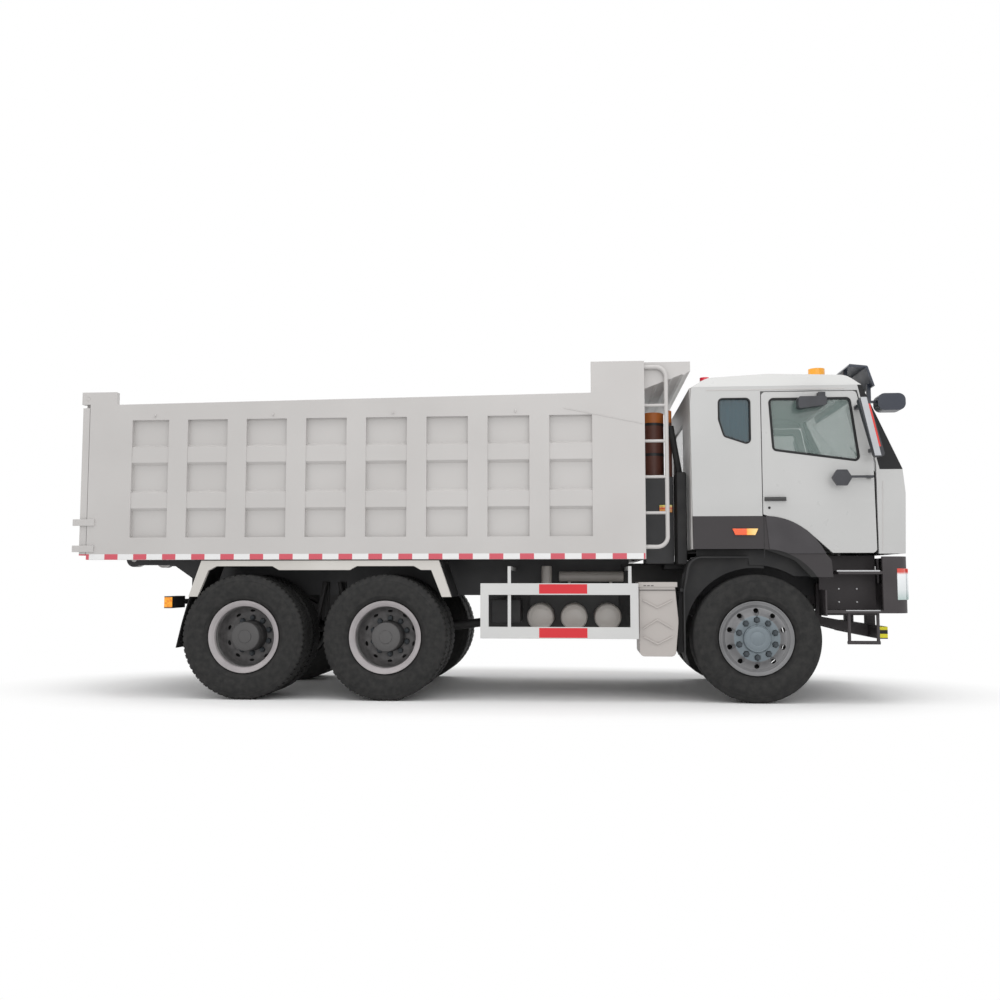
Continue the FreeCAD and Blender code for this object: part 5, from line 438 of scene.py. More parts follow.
def tyre(name, x, middle, grooves, blocks):
    """One tyre; blocks is how many cross cuts the shoulders have, or none."""
    outline = [(r, middle + y) for r, y in tyre_outline(grooves, 0.015)]
    steps = blocks * 3 if blocks else 120
    piece = turned(name, outline, x, steps)
    if blocks:
        cut_from = grooves[0][0] + grooves[0][1]

        def cross_cut(face):
            place = face.center
            angle = math.atan2(place.z - axle_z, place.x - x) / (2 * math.pi)
            radius = math.hypot(place.z - axle_z, place.x - x)
            across = abs(place.y - middle)
            return radius > shoulder_radius and across > cut_from and int((angle + 1) * steps) % 3 == 0

        pick(piece, cross_cut)
        bpy.ops.mesh.extrude_region()
        bpy.ops.transform.resize(value=(cut_scale, 1, cut_scale), center_override=(x, middle, axle_z))
        smooth(piece)
    return piece


rib_tread = [(0.083, 0.006), (0.030, 0.006)]
block_tread = [(0.070, 0.006), (0.024, 0.005)]
front_tyre = tyre("front_tyre_piece_left", front_axle_x, front_tyre_y, rib_tread, 0)
fit(copied(front_tyre, "front_tyre_piece_right", mirror=True), rubber, "front_wheel_right", "tyre_rubber",
    "front_tyre_right")
fit(front_tyre, rubber, "front_wheel_left", "tyre_rubber", "front_tyre_left")

outer_tyre = tyre("twin_tyre_pattern", middle_axle_x, twin_outer_y, block_tread, 66)
for axle, x in (("middle", middle_axle_x), ("rear", rear_axle_x)):
    for side in ("left", "right"):
        for place, inset in (("outer", 0), ("inner", twin_outer_y - twin_inner_y)):
            move = (x - middle_axle_x, -inset, 0)
            twin = copied(outer_tyre, f"{place}_tyre_{axle}_{side}", move, side == "right")
            fit(twin, rubber, f"twin_wheel_{axle}_{side}", "tyre_rubber", f"twin_tyres_{axle}_{side}")
bpy.data.objects.remove(outer_tyre)


# ---------------------------------------------------------------- wheels
# Pressed steel discs welded into rolled rims and held by ten nuts.  The steered wheels are
# outset and silver with a round hub cap; the twins are dished deep over dark cast hubs.


def within(finish, middle, radii):
    """Where a piece, seen from the side, lies inside an ellipse."""
    along = (finish.axis("X") - middle[0]) * (1 / radii[0])
    up = (finish.axis("Z") - middle[1]) * (1 / radii[1])
    return (along * along + up * up) < 1


silver = painted("wheel silver", (0.23, 0.23, 0.24), 0.40, 0.08, Metallic=0.35)
sprayed = silver.mottled(0.2, (0.17, 0.17, 0.175), (0.22, 0.22, 0.225))
hub_face = within(silver, (front_axle_x, axle_z), (0.205, 0.205))
silver.feed("Base Color", silver.blend(hub_face, sprayed, (0.155, 0.185, 0.205)))
rim_grey = painted("rim grey", (0.33, 0.31, 0.315), 0.5, 0.12)
outside = rim_grey.axis("Y")
sprayed = rim_grey.mottled(0.2, (0.30, 0.28, 0.285), (0.37, 0.345, 0.35))
# inside the lip, |Y| under 1.150 m, the dish is painted a darker mottled grey: dust and painted shade in the
# deep dish
dust_and_shade = rim_grey.mottled(0.05, (0.10, 0.097, 0.097), (0.17, 0.163, 0.163))
shaded_dish = rim_grey.blend(abs(outside) < 1.150, sprayed, dust_and_shade)
# the inner rim and the back of the disc, between the twin tyres, are painted near black: painted shade
rim_grey.feed("Base Color", rim_grey.blend(abs(outside) < 0.928, shaded_dish, (0.014, 0.014, 0.014)))
hub_dark = painted("hub grey", (0.072, 0.070, 0.070), 0.55, 0.2)
nut_steel = Finish("nut steel", (0.030, 0.040, 0.048), 0.4)
nut_steel.feed("Roughness", nut_steel.grain(0.01) * 0.3 + 0.25)
hole_count, hole_long, hole_wide = 10, 0.024, 0.0135
stud_circle, nut_radius, nut_depth = 0.1675, 0.0240, 0.026


def ring_of(piece, x, count, name):
    """Copies of a piece, evenly round an axle, joined into one."""
    copies = []
    for index in range(count):
        copy = copied(piece, f"{name}_{index}")
        turn = Matrix.Rotation(2 * math.pi * index / count, 4, "Y")
        centre = Matrix.Translation((x, 0, axle_z))
        copy.data.transform(centre @ turn @ centre.inverted())
        copies.append(copy)
    bpy.data.objects.remove(piece)
    return joined(name, copies)


def hand_holes(wheel, x, radius, outward, lean):
    """Pierce oval hand holes through the disc."""
    deselect()
    bpy.ops.mesh.primitive_cylinder_add(vertices=24, radius=1, depth=0.12,
                                        location=(x, outward, axle_z + radius),
                                        rotation=(math.radians(90 - lean), 0, 0))
    cutter = bpy.context.object
    cutter.scale = (hole_long, hole_wide, 1)
    bpy.ops.object.transform_apply(location=True, rotation=True, scale=True)
    cutters = ring_of(cutter, x, hole_count, wheel.name + "_holes")
    modify(wheel, "BOOLEAN", object=cutters, operation="DIFFERENCE", solver="EXACT")
    bpy.data.objects.remove(cutters)
    smooth(wheel)


def wheel_nuts(name, x, face):
    """Flanged hexagon nuts on their studs."""
    middle = (x, face, axle_z + stud_circle)
    deselect()
    bpy.ops.mesh.primitive_cylinder_add(vertices=6, radius=nut_radius, depth=nut_depth,
                                        location=(x, face + nut_depth / 2, axle_z + stud_circle),
                                        rotation=(math.radians(90), 0, 0))
    nut = bpy.context.object
    bpy.ops.object.transform_apply(location=True, rotation=True, scale=True)
    pick(nut, lambda side: side.normal.y > 0.9)
    bpy.ops.mesh.inset(thickness=0.0085)
    bpy.ops.mesh.extrude_region_move(TRANSFORM_OT_translate={"value": (0, 0.012, 0)})
    pick(nut, lambda side: side.normal.y < -0.9)
    bpy.ops.mesh.extrude_region()
    bpy.ops.transform.resize(value=(1.35, 1, 1.35), center_override=middle)
    bpy.ops.mesh.extrude_region_move(TRANSFORM_OT_translate={"value": (0, -0.004, 0)})
    rounded(nut, 0.0015)
    return ring_of(nut, x, hole_count, name)


steered = turned("steered_wheel_left", [
    (0.3350, 1.1310), (0.3335, 1.1350), (0.3280, 1.1360), (0.3190, 1.1290), (0.3010, 1.1230),
    (0.2960, 1.1160), (0.2850, 1.1120), (0.2780, 1.1060), (0.2660, 1.1070), (0.2350, 1.1300),
    (0.2140, 1.1470), (0.2060, 1.1560), (0.1990, 1.1580), (0.1400, 1.1580), (0.1300, 1.1560),
    (0.1270, 1.1570), (0.1240, 1.1640), (0.1220, 1.1800), (0.1150, 1.1860), (0.1080, 1.1820),
    (0.1040, 1.1830), (0.0700, 1.1900), (0.0640, 1.1880), (0.0600, 1.1895), (0.0000, 1.1920),
    (0.0000, 1.1500), (0.1900, 1.1450), (0.2080, 1.1350), (0.2600, 1.0960), (0.2740, 1.0880),
    (0.2820, 1.0600), (0.2820, 0.9300), (0.2900, 0.9100), (0.3180, 0.9040), (0.3350, 0.8990),
    (0.3350, 0.9050), (0.3100, 0.9120), (0.3060, 0.9300), (0.2900, 0.9500), (0.2900, 1.0800),
    (0.3060, 1.1000), (0.3100, 1.1180), (0.3345, 1.1270),
], front_axle_x, 96)
hand_holes(steered, front_axle_x, radius=0.240, outward=1.126, lean=37)
steered_drum = turned("steered_drum_left", [
    (0.045, 1.012), (0.195, 1.012), (0.205, 1.020), (0.205, 1.075), (0.212, 1.080), (0.212, 1.088),
    (0.200, 1.092), (0.150, 1.096), (0.110, 1.120), (0.110, 1.146), (0.045, 1.146),
], front_axle_x, 72)
steered_nuts = wheel_nuts("steered_nuts_left", front_axle_x, 1.158)
shield = turned("brake_shield_left", [
    (0.150, 0.998), (0.250, 0.998), (0.262, 1.004), (0.262, 1.010), (0.248, 1.003), (0.150, 1.003),
], front_axle_x, 72)
fit(copied(shield, "brake_shield_right", mirror=True), cast_paint, "knuckle_right", "chassis_black")
fit(shield, cast_paint, "knuckle_left", "chassis_black")
for piece, finish in ((steered, silver), (steered_drum, hub_dark), (steered_nuts, nut_steel)):
    other = copied(piece, piece.name.replace("left", "right"), mirror=True)
    fit(other, finish, "front_wheel_right", "wheel_silver", "front_wheel_right")
    fit(piece, finish, "front_wheel_left", "wheel_silver", "front_wheel_left")

outer_rim = turned("outer_rim", [
    (0.3350, 1.2060), (0.3335, 1.2100), (0.3280, 1.2110), (0.3180, 1.2060), (0.3020, 1.1990),
    (0.2960, 1.1920), (0.2860, 1.1860), (0.2820, 1.1760), (0.2820, 1.1200), (0.2780, 1.1160),
    (0.2780, 1.1080), (0.2820, 1.1040), (0.2820, 1.0300), (0.2740, 0.9960), (0.2600, 0.9620),
    (0.2300, 0.9420), (0.2100, 0.9390), (0.1450, 0.9390), (0.1450, 0.9250), (0.2150, 0.9250),
    (0.2400, 0.9310), (0.2700, 0.9500), (0.2900, 0.9780), (0.3150, 0.9790), (0.3350, 0.9740),
    (0.3350, 0.9800), (0.3100, 0.9870), (0.3060, 1.0000), (0.2900, 1.0200), (0.2900, 1.1560),
    (0.3060, 1.1720), (0.3100, 1.1900), (0.3345, 1.2020),
], middle_axle_x, 96)
hand_holes(outer_rim, middle_axle_x, radius=0.236, outward=0.936, lean=20)
inner_rim = turned("inner_rim", [
    (0.3350, 0.6330), (0.3280, 0.6280), (0.3020, 0.6400), (0.2820, 0.6630), (0.2820, 0.8300),
    (0.2600, 0.8800), (0.2150, 0.9090), (0.1450, 0.9110), (0.1450, 0.9240), (0.2200, 0.9240),
    (0.2700, 0.8950), (0.2900, 0.8620), (0.3350, 0.8650), (0.3350, 0.8580), (0.3060, 0.8400),
    (0.2900, 0.8200), (0.2900, 0.6900), (0.3060, 0.6700), (0.3100, 0.6480),
], middle_axle_x, 72)
cast_hub = turned("cast_hub", [
    (0.0623, 0.6400), (0.1950, 0.6400), (0.2050, 0.6500), (0.2050, 0.8400), (0.1800, 0.8600),
    (0.1700, 0.9050), (0.1440, 0.9100), (0.1440, 0.9450), (0.1400, 0.9600), (0.1380, 1.0400),
    (0.1340, 1.0440), (0.1340, 1.0560), (0.1380, 1.0600), (0.1380, 1.1400), (0.1320, 1.1560),
    (0.1180, 1.1640), (0.0620, 1.1660), (0.0580, 1.1720), (0.0000, 1.1740), (0.0000, 1.0000),
    (0.0623, 1.0000),
], middle_axle_x, 72)
twin_nuts = wheel_nuts("twin_nuts", middle_axle_x, 0.939)
for axle, x in (("middle", middle_axle_x), ("rear", rear_axle_x)):
    for side in ("left", "right"):
        for piece, finish in ((outer_rim, rim_grey), (inner_rim, rim_grey), (cast_hub, hub_dark),
                              (twin_nuts, nut_steel)):
            move = (x - middle_axle_x, 0, 0)
            own = copied(piece, f"{piece.name}_{axle}_{side}", move, side == "right")
            fit(own, finish, f"twin_wheel_{axle}_{side}", "wheel_silver", f"twin_wheel_{axle}_{side}")
for piece in (outer_rim, inner_rim, cast_hub, twin_nuts):
    bpy.data.objects.remove(piece)


# ---------------------------------------------------------------- engine and exhaust
# A cast diesel and its gearbox between the rails under the cab, with the rolled steel
# silencer on the left rail, all of it in the same dark grey.

engine_paint = painted("engine grey", (0.045, 0.047, 0.050), 0.55, 0.2)
engine_paint.relief(engine_paint.grain(0.006), 0.0008, 0.6)
dressed("engine", engine_paint, "chassis", "chassis_black", 0.012)


# ---------------------------------------------------------------- mudguards, fenders, flaps and tail lamps
# Moulded black guards round the steered wheels, a pressed fender with a pale rim over the
# bogie, rubber flaps behind it and a lamp cluster at each end of the rear cross-bar.

guard_plastic = Finish("guard plastic", (0.035, 0.035, 0.037), 0.65, Specular_IOR_Level=0.3)
guard_dust = guard_plastic.grain(0.2, detail=5)
dust_and_shade = guard_plastic.ramp(guard_dust, (0.35, (0.020, 0.020, 0.021)), (0.75, (0.034, 0.033, 0.033)))
guard_plastic.feed("Base Color", dust_and_shade)
guard_plastic.relief(guard_plastic.grain(0.0015), 0.0001, 0.5)
dressed("front_mudguards", guard_plastic, "chassis", "dark_plastic")

fender_paint = painted("fender rim", (0.50, 0.48, 0.45), 0.4)
pale = fender_paint.mottled(0.7, (0.50, 0.48, 0.45), (0.56, 0.54, 0.51))
on_rim = abs(fender_paint.axis("Y")) > 1.178
fender_paint.feed("Base Color", fender_paint.blend(on_rim, (0.026, 0.026, 0.028), pale))
dressed("rear_fenders", fender_paint, "chassis", "body_white", 0.001)

flap_rubber = Finish("flap rubber", (0.03, 0.03, 0.03), 0.8, Specular_IOR_Level=0.25)
flap_dust = flap_rubber.grain(0.08, detail=5)
dust_and_shade = flap_rubber.ramp(flap_dust, (0.3, (0.012, 0.012, 0.013)), (0.75, (0.026, 0.025, 0.024)))
flap_rubber.feed("Base Color", dust_and_shade)
flap_rubber.relief(flap_rubber.grain(0.003), 0.0003, 0.6)
dressed("mud_flaps", flap_rubber, "chassis", "flap_rubber", 0.003)
lamp_bar = painted("lamp bar", (0.02, 0.02, 0.021), 0.4)
outside, up = lamp_bar.axis("Y"), lamp_bar.axis("Z") - 0.892
at_back = (lamp_bar.axis("X") < -2.925) + (abs(outside) > 1.190) > 0.5
glass = (abs(outside) > 0.885) * (abs(up) < 0.047) * at_back
cells = lamp_bar.grain(0.02, detail=1)
amber = lamp_bar.ramp(cells, (0.3, (0.80, 0.22, 0.01)), (0.7, (0.95, 0.45, 0.03)))
red = lamp_bar.ramp(cells, (0.3, (0.40, 0.005, 0.005)), (0.7, (0.60, 0.015, 0.01)))
lens = lamp_bar.blend(abs(outside) > 1.06, red, amber)
lamp_bar.feed("Base Color", lamp_bar.blend(glass, (0.014, 0.014, 0.015), lens))
dressed("tail_lamps", lamp_bar, "chassis", "lamp_red", 0.003)


# ---------------------------------------------------------------- side guards
# Two folded steel rails between posts on each side, hung from the frame and painted white,
# each rail with a stuck-on red reflecting patch that leaves thin white edges.

guard_white = painted("guard white", (0.55, 0.55, 0.55), 0.35)
along, up = guard_white.axis("X"), guard_white.axis("Z")
in_patch = along.between(0.533, 0.969)
on_rail = up.between(0.976, 1.062) + up.between(0.578, 0.667)
plain = guard_white.mottled(0.6, (0.52, 0.52, 0.52), (0.57, 0.57, 0.56))
guard_white.feed("Base Color", guard_white.blend(in_patch * on_rail, plain, (0.58, 0.012, 0.022)))
dressed("side_guards", guard_white, "chassis", "body_white", 0.003)


# ---------------------------------------------------------------- air tanks and battery box
# Three pressed air tanks with domed ends side by side on a cradle, a valve box, an air dryer
# and a long tank hung on the rail above and beside them, and behind the front wheel the
# moulded battery box with its overhanging lid.

tank_grey = painted("tank grey", (0.33, 0.31, 0.29), 0.35)
sprayed = tank_grey.mottled(0.3, (0.31, 0.29, 0.27), (0.35, 0.33, 0.31))
# within 0.476 m of the middle the tank grey is painted near black: painted shade behind and between the
# tanks
shaded_near_rail = abs(tank_grey.axis("Y")) < 0.476
tank_grey.feed("Base Color", tank_grey.blend(shaded_near_rail, sprayed, (0.012, 0.012, 0.012)))
dressed("air_tanks", tank_grey, "chassis", "tank_grey", 0.003)
box_grey = painted("box grey", (0.42, 0.39, 0.37), 0.5)
dressed("battery_box", box_grey, "chassis", "box_grey", 0.008)


def sheet(name, outline, ends, axis="Y", width=0.002):
    """A flat outline, in the two axes left over, given a thickness along one axis."""
    across = "XYZ".index(axis)
    piece = outlined(name, [place[:across] + (ends[0],) + place[across:] for place in outline])
    move = [0, 0, 0]
    move[across] = ends[1] - ends[0]
    edit(piece)
    bpy.ops.mesh.edge_face_add()
    bpy.ops.mesh.extrude_region_move(TRANSFORM_OT_translate={"value": move})
    bpy.ops.mesh.select_all(action="SELECT")
    bpy.ops.mesh.normals_make_consistent(inside=False)
    deselect()
    rounded(piece, width)
    return piece


def slab(name, x, y, z, width=0.004):
    """A block between two places on each axis, with its edges broken."""
    deselect()
    bpy.ops.mesh.primitive_cube_add(size=1, location=[sum(ends) / 2 for ends in (x, y, z)],
                                    scale=[ends[1] - ends[0] for ends in (x, y, z)])
    piece = bpy.context.object
    piece.name = name
    bpy.ops.object.transform_apply(location=True, rotation=True, scale=True)
    rounded(piece, width)
    return piece


ribs = []
for index, (side, middle) in enumerate(((0.926, 0.858), (0.669, 0.750), (0.60, 0.53))):
    ribs.append(sheet(f"box_chevron_{index}", [
        (1.470, side), (1.600, middle), (1.738, side), (1.738, side - 0.016), (1.600, middle - 0.016),
        (1.470, side - 0.016),
    ], (-1.1625, -1.156), width=0.003))
fit(joined("box_chevrons", ribs), box_grey, "chassis", "box_grey")
slots = [slab(f"lid_slot_{index}", (x, x + 0.024), (-1.1595, -1.150), (1.044, 1.052), 0.002)
         for index, x in enumerate((1.478, 1.512, 1.546))]
# a dark strip under the lid's overhang: painted shadow
slots.append(slab("lid_gap", (1.440, 1.775), (-1.1590, -1.150), (1.006, 1.011), 0.001))
fit(joined("lid_slots", slots), guard_plastic, "chassis", "dark_plastic")

rail_y = -0.425
valve_box = slab("valve_box", (0.070, 0.350), (-0.950, -0.600), (0.700, 0.920), 0.02)
hanger = slab("valve_box_hanger", (0.180, 0.240), (-0.640, rail_y), (0.900, 1.020))
fit(joined("valve_box", [valve_box, hanger]), guard_plastic, "chassis", "chassis_black")
on_rail = (rail_y - 0.007, rail_y + 0.001)
# a black plate on the rail: a bracket for the tanks, and also a dark sheet that stands in for the shade
# behind them and hides the far tank
backing = [slab("tank_bracket", (-0.060, 1.430), on_rail, (0.600, 0.975), 0.003),
           slab("bed_rest", (1.300, 1.930), on_rail, (1.040, 1.262), 0.003)]
fit(joined("tank_bracket", backing), cast_paint, "chassis", "chassis_black")
can_y, tank_y, tank_z = -0.700, -0.560, 1.133
dryer = [bar("dryer_can", (0.584, can_y, 1.030), (0.584, can_y, 1.235), 0.050, 32),
         bar("long_tank", (0.700, tank_y, tank_z), (1.325, tank_y, tank_z), 0.050, 32)]
for x in (0.800, 1.200):
    dryer.append(bar(f"long_tank_foot_{x}", (x, tank_y, 1.040), (x, tank_y, 1.110), 0.015))
fit(joined("air_dryer", dryer), tank_grey, "chassis", "tank_grey")


# ---------------------------------------------------------------- fuel tank, oil tank and air cleaner
# A drawn fuel tank on the left rail, the hydraulic oil tank upright behind the cab, and on
# top of that the air cleaner with its bands, its intake pipe and a moulded duct.

# the fuel tank shares the tank grey, and with it the painted shade within 0.476 m of the middle
dressed("fuel_tank", tank_grey, "chassis", "chassis_black", 0.006)
dressed("oil_tank", chassis_paint, "chassis", "chassis_black", 0.01)
cleaner_brown = painted("cleaner brown", (0.20, 0.055, 0.03), 0.5, 0.2)
height = cleaner_brown.axis("Z")
cleaner_brown.feed("Base Color", cleaner_brown.blend(height > 2.60, (0.13, 0.045, 0.03), (0.55, 0.16, 0.03)))
dressed("air_cleaner", cleaner_brown, "chassis", "canister_orange", 0.01)
bands = [bar(f"cleaner_band_{low}", (1.618, -0.560, low), (1.618, -0.560, low + 0.016), 0.1095, 48)
         for low in (2.300, 2.595)]
fit(joined("cleaner_bands", bands), chassis_paint, "chassis", "chassis_black")
duct = [slab("duct_low", (1.800, 1.893), (-1.020, -0.700), (1.240, 2.100), 0.02),
        slab("duct_foot", (1.700, 1.880), (-0.760, rail_y), (1.200, 1.270), 0.01),
        bar("duct_hose", (1.845, -0.860, 2.080), (1.772, -0.790, 2.560), 0.030)]
fit(joined("intake_duct", duct), guard_plastic, "chassis", "chassis_black")
marker_lamp = Finish("marker lamp", (0.8, 0.2, 0.02), 0.2, Coat_Weight=0.6)
up = marker_lamp.axis("Z") + marker_lamp.grain(0.02) * 0.005
# the stops run from 1.72 m above the road to 1.82 m
cells = marker_lamp.ramp(up * 10 - 17.2, (0.45, (0.80, 0.30, 0.05)), (0.55, (0.75, 0.03, 0.02)),
                         (0.80, (0.85, 0.75, 0.15)))
marker_lamp.feed("Base Color", cells)
side_marker = slab("side_marker", (1.655, 1.775), (-0.846, -0.818), (1.735, 1.805), 0.006)
fit(side_marker, marker_lamp, "chassis", "canister_orange")


# ---------------------------------------------------------------- bed
# A welded steel tipping body: pressed side walls with posts and sunk panels, a flat floor,
# and a headboard that folds forward into the canopy.  White paint, scraped steel inside.

body_white = painted("body white", (0.47, 0.455, 0.445), 0.36, 0.03)
bed_paint = painted("bed white", (0.47, 0.455, 0.445), 0.36, 0.03)
along, up, outside = (bed_paint.axis(name) for name in "XZY")
clean = bed_paint.mottled(0.9, (0.455, 0.44, 0.43), (0.49, 0.475, 0.465))
tape_pitch = 0.28
piece_of_tape = ((along + 10) * (1 / tape_pitch)).fraction()
tape = bed_paint.blend(piece_of_tape < 0.46, (0.70, 0.70, 0.70), (0.55, 0.08, 0.11))
in_band = up.between(1.290, 1.342) * (abs(outside) > 1.2) * (along < 1.495)
painted_side = bed_paint.blend(in_band, clean, tape)
scratch = bed_paint.grain(0.035, (0.07, 1, 0.6), 6)
scraped = bed_paint.ramp(scratch, (0.30, (0.20, 0.19, 0.18)), (0.50, (0.27, 0.255, 0.24)),
                         (0.74, (0.36, 0.345, 0.33)))
load_side = (abs(outside) < 1.1653) * (up > 1.511) * along.between(-3.748, 1.445)
bed_paint.feed("Base Color", bed_paint.blend(load_side, painted_side, scraped))
for node in ("bed_side_left", "bed_side_right", "bed_headboard"):
    dressed(node, bed_paint, "bed", "body_white")
dressed("bed_floor", bed_paint, "bed", "body_white", 0.0004)
dressed("bed_ladder", body_white, "bed", "body_white", 0.002)
dressed("tailgate", bed_paint, "tailgate", "body_white")

fold = [(0.760, 2.681), (1.480, 2.529), (1.480, 2.521), (0.760, 2.673)]
trim = [sheet("rim_fold", fold, (-1.2385, -1.2345))]
hook_z = 2.665
for index, x in enumerate((-3.10, -1.96, -0.82, 0.32)):
    trim.append(bar(f"cover_hook_{index}", (x, -1.236, hook_z), (x, -1.2465, 2.640), 0.006, 8))
    trim.append(bar(f"cover_hook_root_{index}", (x, -1.228, hook_z), (x, -1.238, hook_z), 0.008, 8))
paired(joined("bed_trim_right", trim), body_white, "bed", "body_white")


# ---------------------------------------------------------------- hoist
# A telescopic cylinder stands between the rails behind the cab: three chromed stages that
# slide out of a black barrel, under a black outer cover with a pin on each side.

chrome = Finish("hoist chrome", (0.75, 0.76, 0.78), 0.12, Metallic=1.0)
chrome.feed("Roughness", chrome.grain(0.02, (1, 1, 0.1)) * 0.15 + 0.06)
dressed("hoist_barrel", chassis_paint, "hoist_barrel", "chassis_black", 0.003)
for stage in ("hoist_stage_1", "hoist_stage_2", "hoist_stage_3"):
    dressed(stage, chrome, stage, "stage_chrome", 0.002)
dressed("hoist_cover", chassis_paint, "hoist_cover", "chassis_black", 0.003)


# ---------------------------------------------------------------- cab shell
# Pressed and welded steel panels, primed and sprayed white, with charcoal plastic skirts
# and wheel-arch flares screwed on below and black trim over the windscreen's pillars.

# the flare's upper and lower edges, ellipses given by their middle and radii
flare_edge = ((2.575, 1.025), (0.600, 0.650))
flare_hollow = ((2.575, 0.700), (0.575, 0.675))
# charcoal for the plastic skirts, and near black for painted shadow
charcoal, shadow = (0.040, 0.036, 0.038), (0.010, 0.010, 0.010)
cab_paint = painted("cab white", (0.49, 0.49, 0.485), 0.30, 0.02, Coat_Weight=0.25)
along, up = cab_paint.axis("X"), cab_paint.axis("Z")
sprayed = cab_paint.mottled(0.9, (0.43, 0.43, 0.425), (0.46, 0.46, 0.455))
flare = within(cab_paint, *flare_edge)
behind_arch = (up < 1.676) * (along < 2.575)
under_door = (up < 1.345) * (along < 3.17)
skirt = flare + behind_arch + under_door > 0.5
# inside the arch's hollow the paint is near black: painted shadow
hollow = within(cab_paint, *flare_hollow) * (along > 2.575)
pillar = (up > 2.090) * ((along + (up - 2.80) * 0.2286) > 3.425)
trimmed = cab_paint.blend(pillar, sprayed, (0.012, 0.012, 0.013))
flared = cab_paint.blend(skirt, trimmed, charcoal)
cab_paint.feed("Base Color", cab_paint.blend(hollow, flared, shadow))
glossy = (1 - (skirt + pillar + hollow > 0.5)) * 0.25
cab_paint.feed("Coat Weight", glossy)
cab_paint.feed("Roughness", cab_paint.grain(0.3) * 0.08 + 0.78 - glossy * 2)
dressed("cab_sides", cab_paint, "cab", "body_white", 0.006)
dressed("cab_front_panel", cab_paint, "cab", "body_white", 0.01)
roof_paint = painted("roof white", (0.58, 0.58, 0.57), 0.30, 0.02, Coat_Weight=0.25)
along, up, outside = (roof_paint.axis(name) for name in "XZY")
over_roof = roof_paint.blend(up > 3.022, (0.60, 0.60, 0.59), (0.85, 0.36, 0.015))
marker = along.between(2.02, 2.125) * (up > 2.949)
roof_paint.feed("Base Color", roof_paint.blend(marker, over_roof, (0.60, 0.012, 0.035)))
dressed("cab_roof", roof_paint, "cab", "body_white", 0.012)
dressed("cab_rear_wall", body_white, "cab", "body_white")
dressed("cab_floor", guard_plastic, "cab", "body_white")

dark_plastic = Finish("dark plastic", (0.045, 0.042, 0.045), 0.55, Specular_IOR_Level=0.35)
dark_plastic.feed("Base Color", dark_plastic.mottled(0.3, (0.038, 0.035, 0.038), (0.052, 0.048, 0.052)))
dark_plastic.relief(dark_plastic.grain(0.0012), 0.0001, 0.4)
lamp_amber = Finish("lamp amber", (0.9, 0.22, 0.02), 0.2, Coat_Weight=0.6)
along = lamp_amber.axis("X") + lamp_amber.grain(0.02) * 0.01
# the stops run from 2.275 m forward to 2.525 m
lens = lamp_amber.ramp(along * 4 - 9.1, (0.52, (0.80, 0.10, 0.02)), (0.56, (0.95, 0.42, 0.06)),
                       (0.80, (0.98, 0.62, 0.22)))
lamp_amber.feed("Base Color", lens)
panel_y = -1.188
side_lamp = sheet("side_lamp", [(2.276, 1.563), (2.508, 1.562), (2.480, 1.503), (2.302, 1.504)],
                  (-1.202, panel_y), width=0.004)
paired(side_lamp, lamp_amber, "cab", "canister_orange")


def arc(middle, radii, degrees):
    """Points of an ellipse at some angles."""
    turns = [math.radians(degree) for degree in degrees]
    return [(middle[0] + radii[0] * math.cos(turn), middle[1] + radii[1] * math.sin(turn)) for turn in turns]


front_wheel = (front_axle_x, axle_z)
arch = arc(front_wheel, (0.66, 0.66), range(58, 96, 3))
liner = sheet("arch_liner", [(1.965, 1.377), (3.080, 1.377), (3.080, 1.135), *arch,
                             (2.430, 1.318), (1.965, 1.318)], (-1.076, -1.068))
paired(liner, guard_plastic, "cab", "dark_plastic")
wheel_side = arc(front_wheel, (0.635, 0.635), range(82, 196, 6))
web = sheet("fender_web", [*wheel_side, (1.790, 0.420), (1.800, 0.900), (1.840, 1.150), (1.930, 1.290),
                           (2.050, 1.305), (2.573, 1.305)], (-1.062, -1.050))
paired(web, guard_plastic, "chassis", "dark_plastic")
rail = [(2.06, -1.193), (3.30, -1.193), (3.30, -1.178), (2.06, -1.178)]
gutter = sheet("roof_gutter", rail, (2.822, 2.834), "Z", 0.003)
crease = sheet("front_crease", [(3.609, 1.985), (3.615, 1.985), (3.597, 1.36), (3.591, 1.36)],
               (-1.193, panel_y))
paired(joined("cab_trim_right", [gutter, crease]), body_white, "cab", "body_white")
arch_seam = sheet("skirt_seam", [(2.556, 1.676), (2.562, 1.676), (2.562, 1.30), (2.556, 1.30)],
                  (-1.1915, panel_y), width=0.001)
paired(arch_seam, guard_plastic, "cab", "dark_plastic")

grille = [slab("grille_back", (3.790, 3.812), (-0.62, 0.62), (1.42, 1.86), 0.01)]
slat_low, slat_pitch = 1.455, 0.071
for index in range(6):
    z = slat_low + slat_pitch * index
    grille.append(slab(f"grille_slat_{index}", (3.804, 3.824), (-0.59, 0.59), (z, z + 0.030), 0.006))
fit(joined("front_grille", grille), dark_plastic, "cab", "dark_plastic")

wipers = []
for side, y in (("right", -0.55), ("left", 0.40)):
    wipers.append(bar(f"wiper_arm_{side}", (3.802, y, 2.050), (3.660, y + 0.42, 2.360), 0.008, 8))
    wipers.append(bar(f"wiper_blade_{side}", (3.716, y + 0.30, 2.250), (3.628, y + 0.50, 2.440), 0.006, 8))
    wipers.append(bar(f"wiper_pivot_{side}", (3.780, y, 2.045), (3.812, y, 2.052), 0.018, 12))
fit(joined("wipers", wipers), guard_plastic, "cab", "dark_plastic")


# ---------------------------------------------------------------- glass and doors
# Tinted safety glass clipped into rubber seals; pressed steel doors on two hinges each,
# with a black pull handle and lock, and the mirrors on tubular arms.

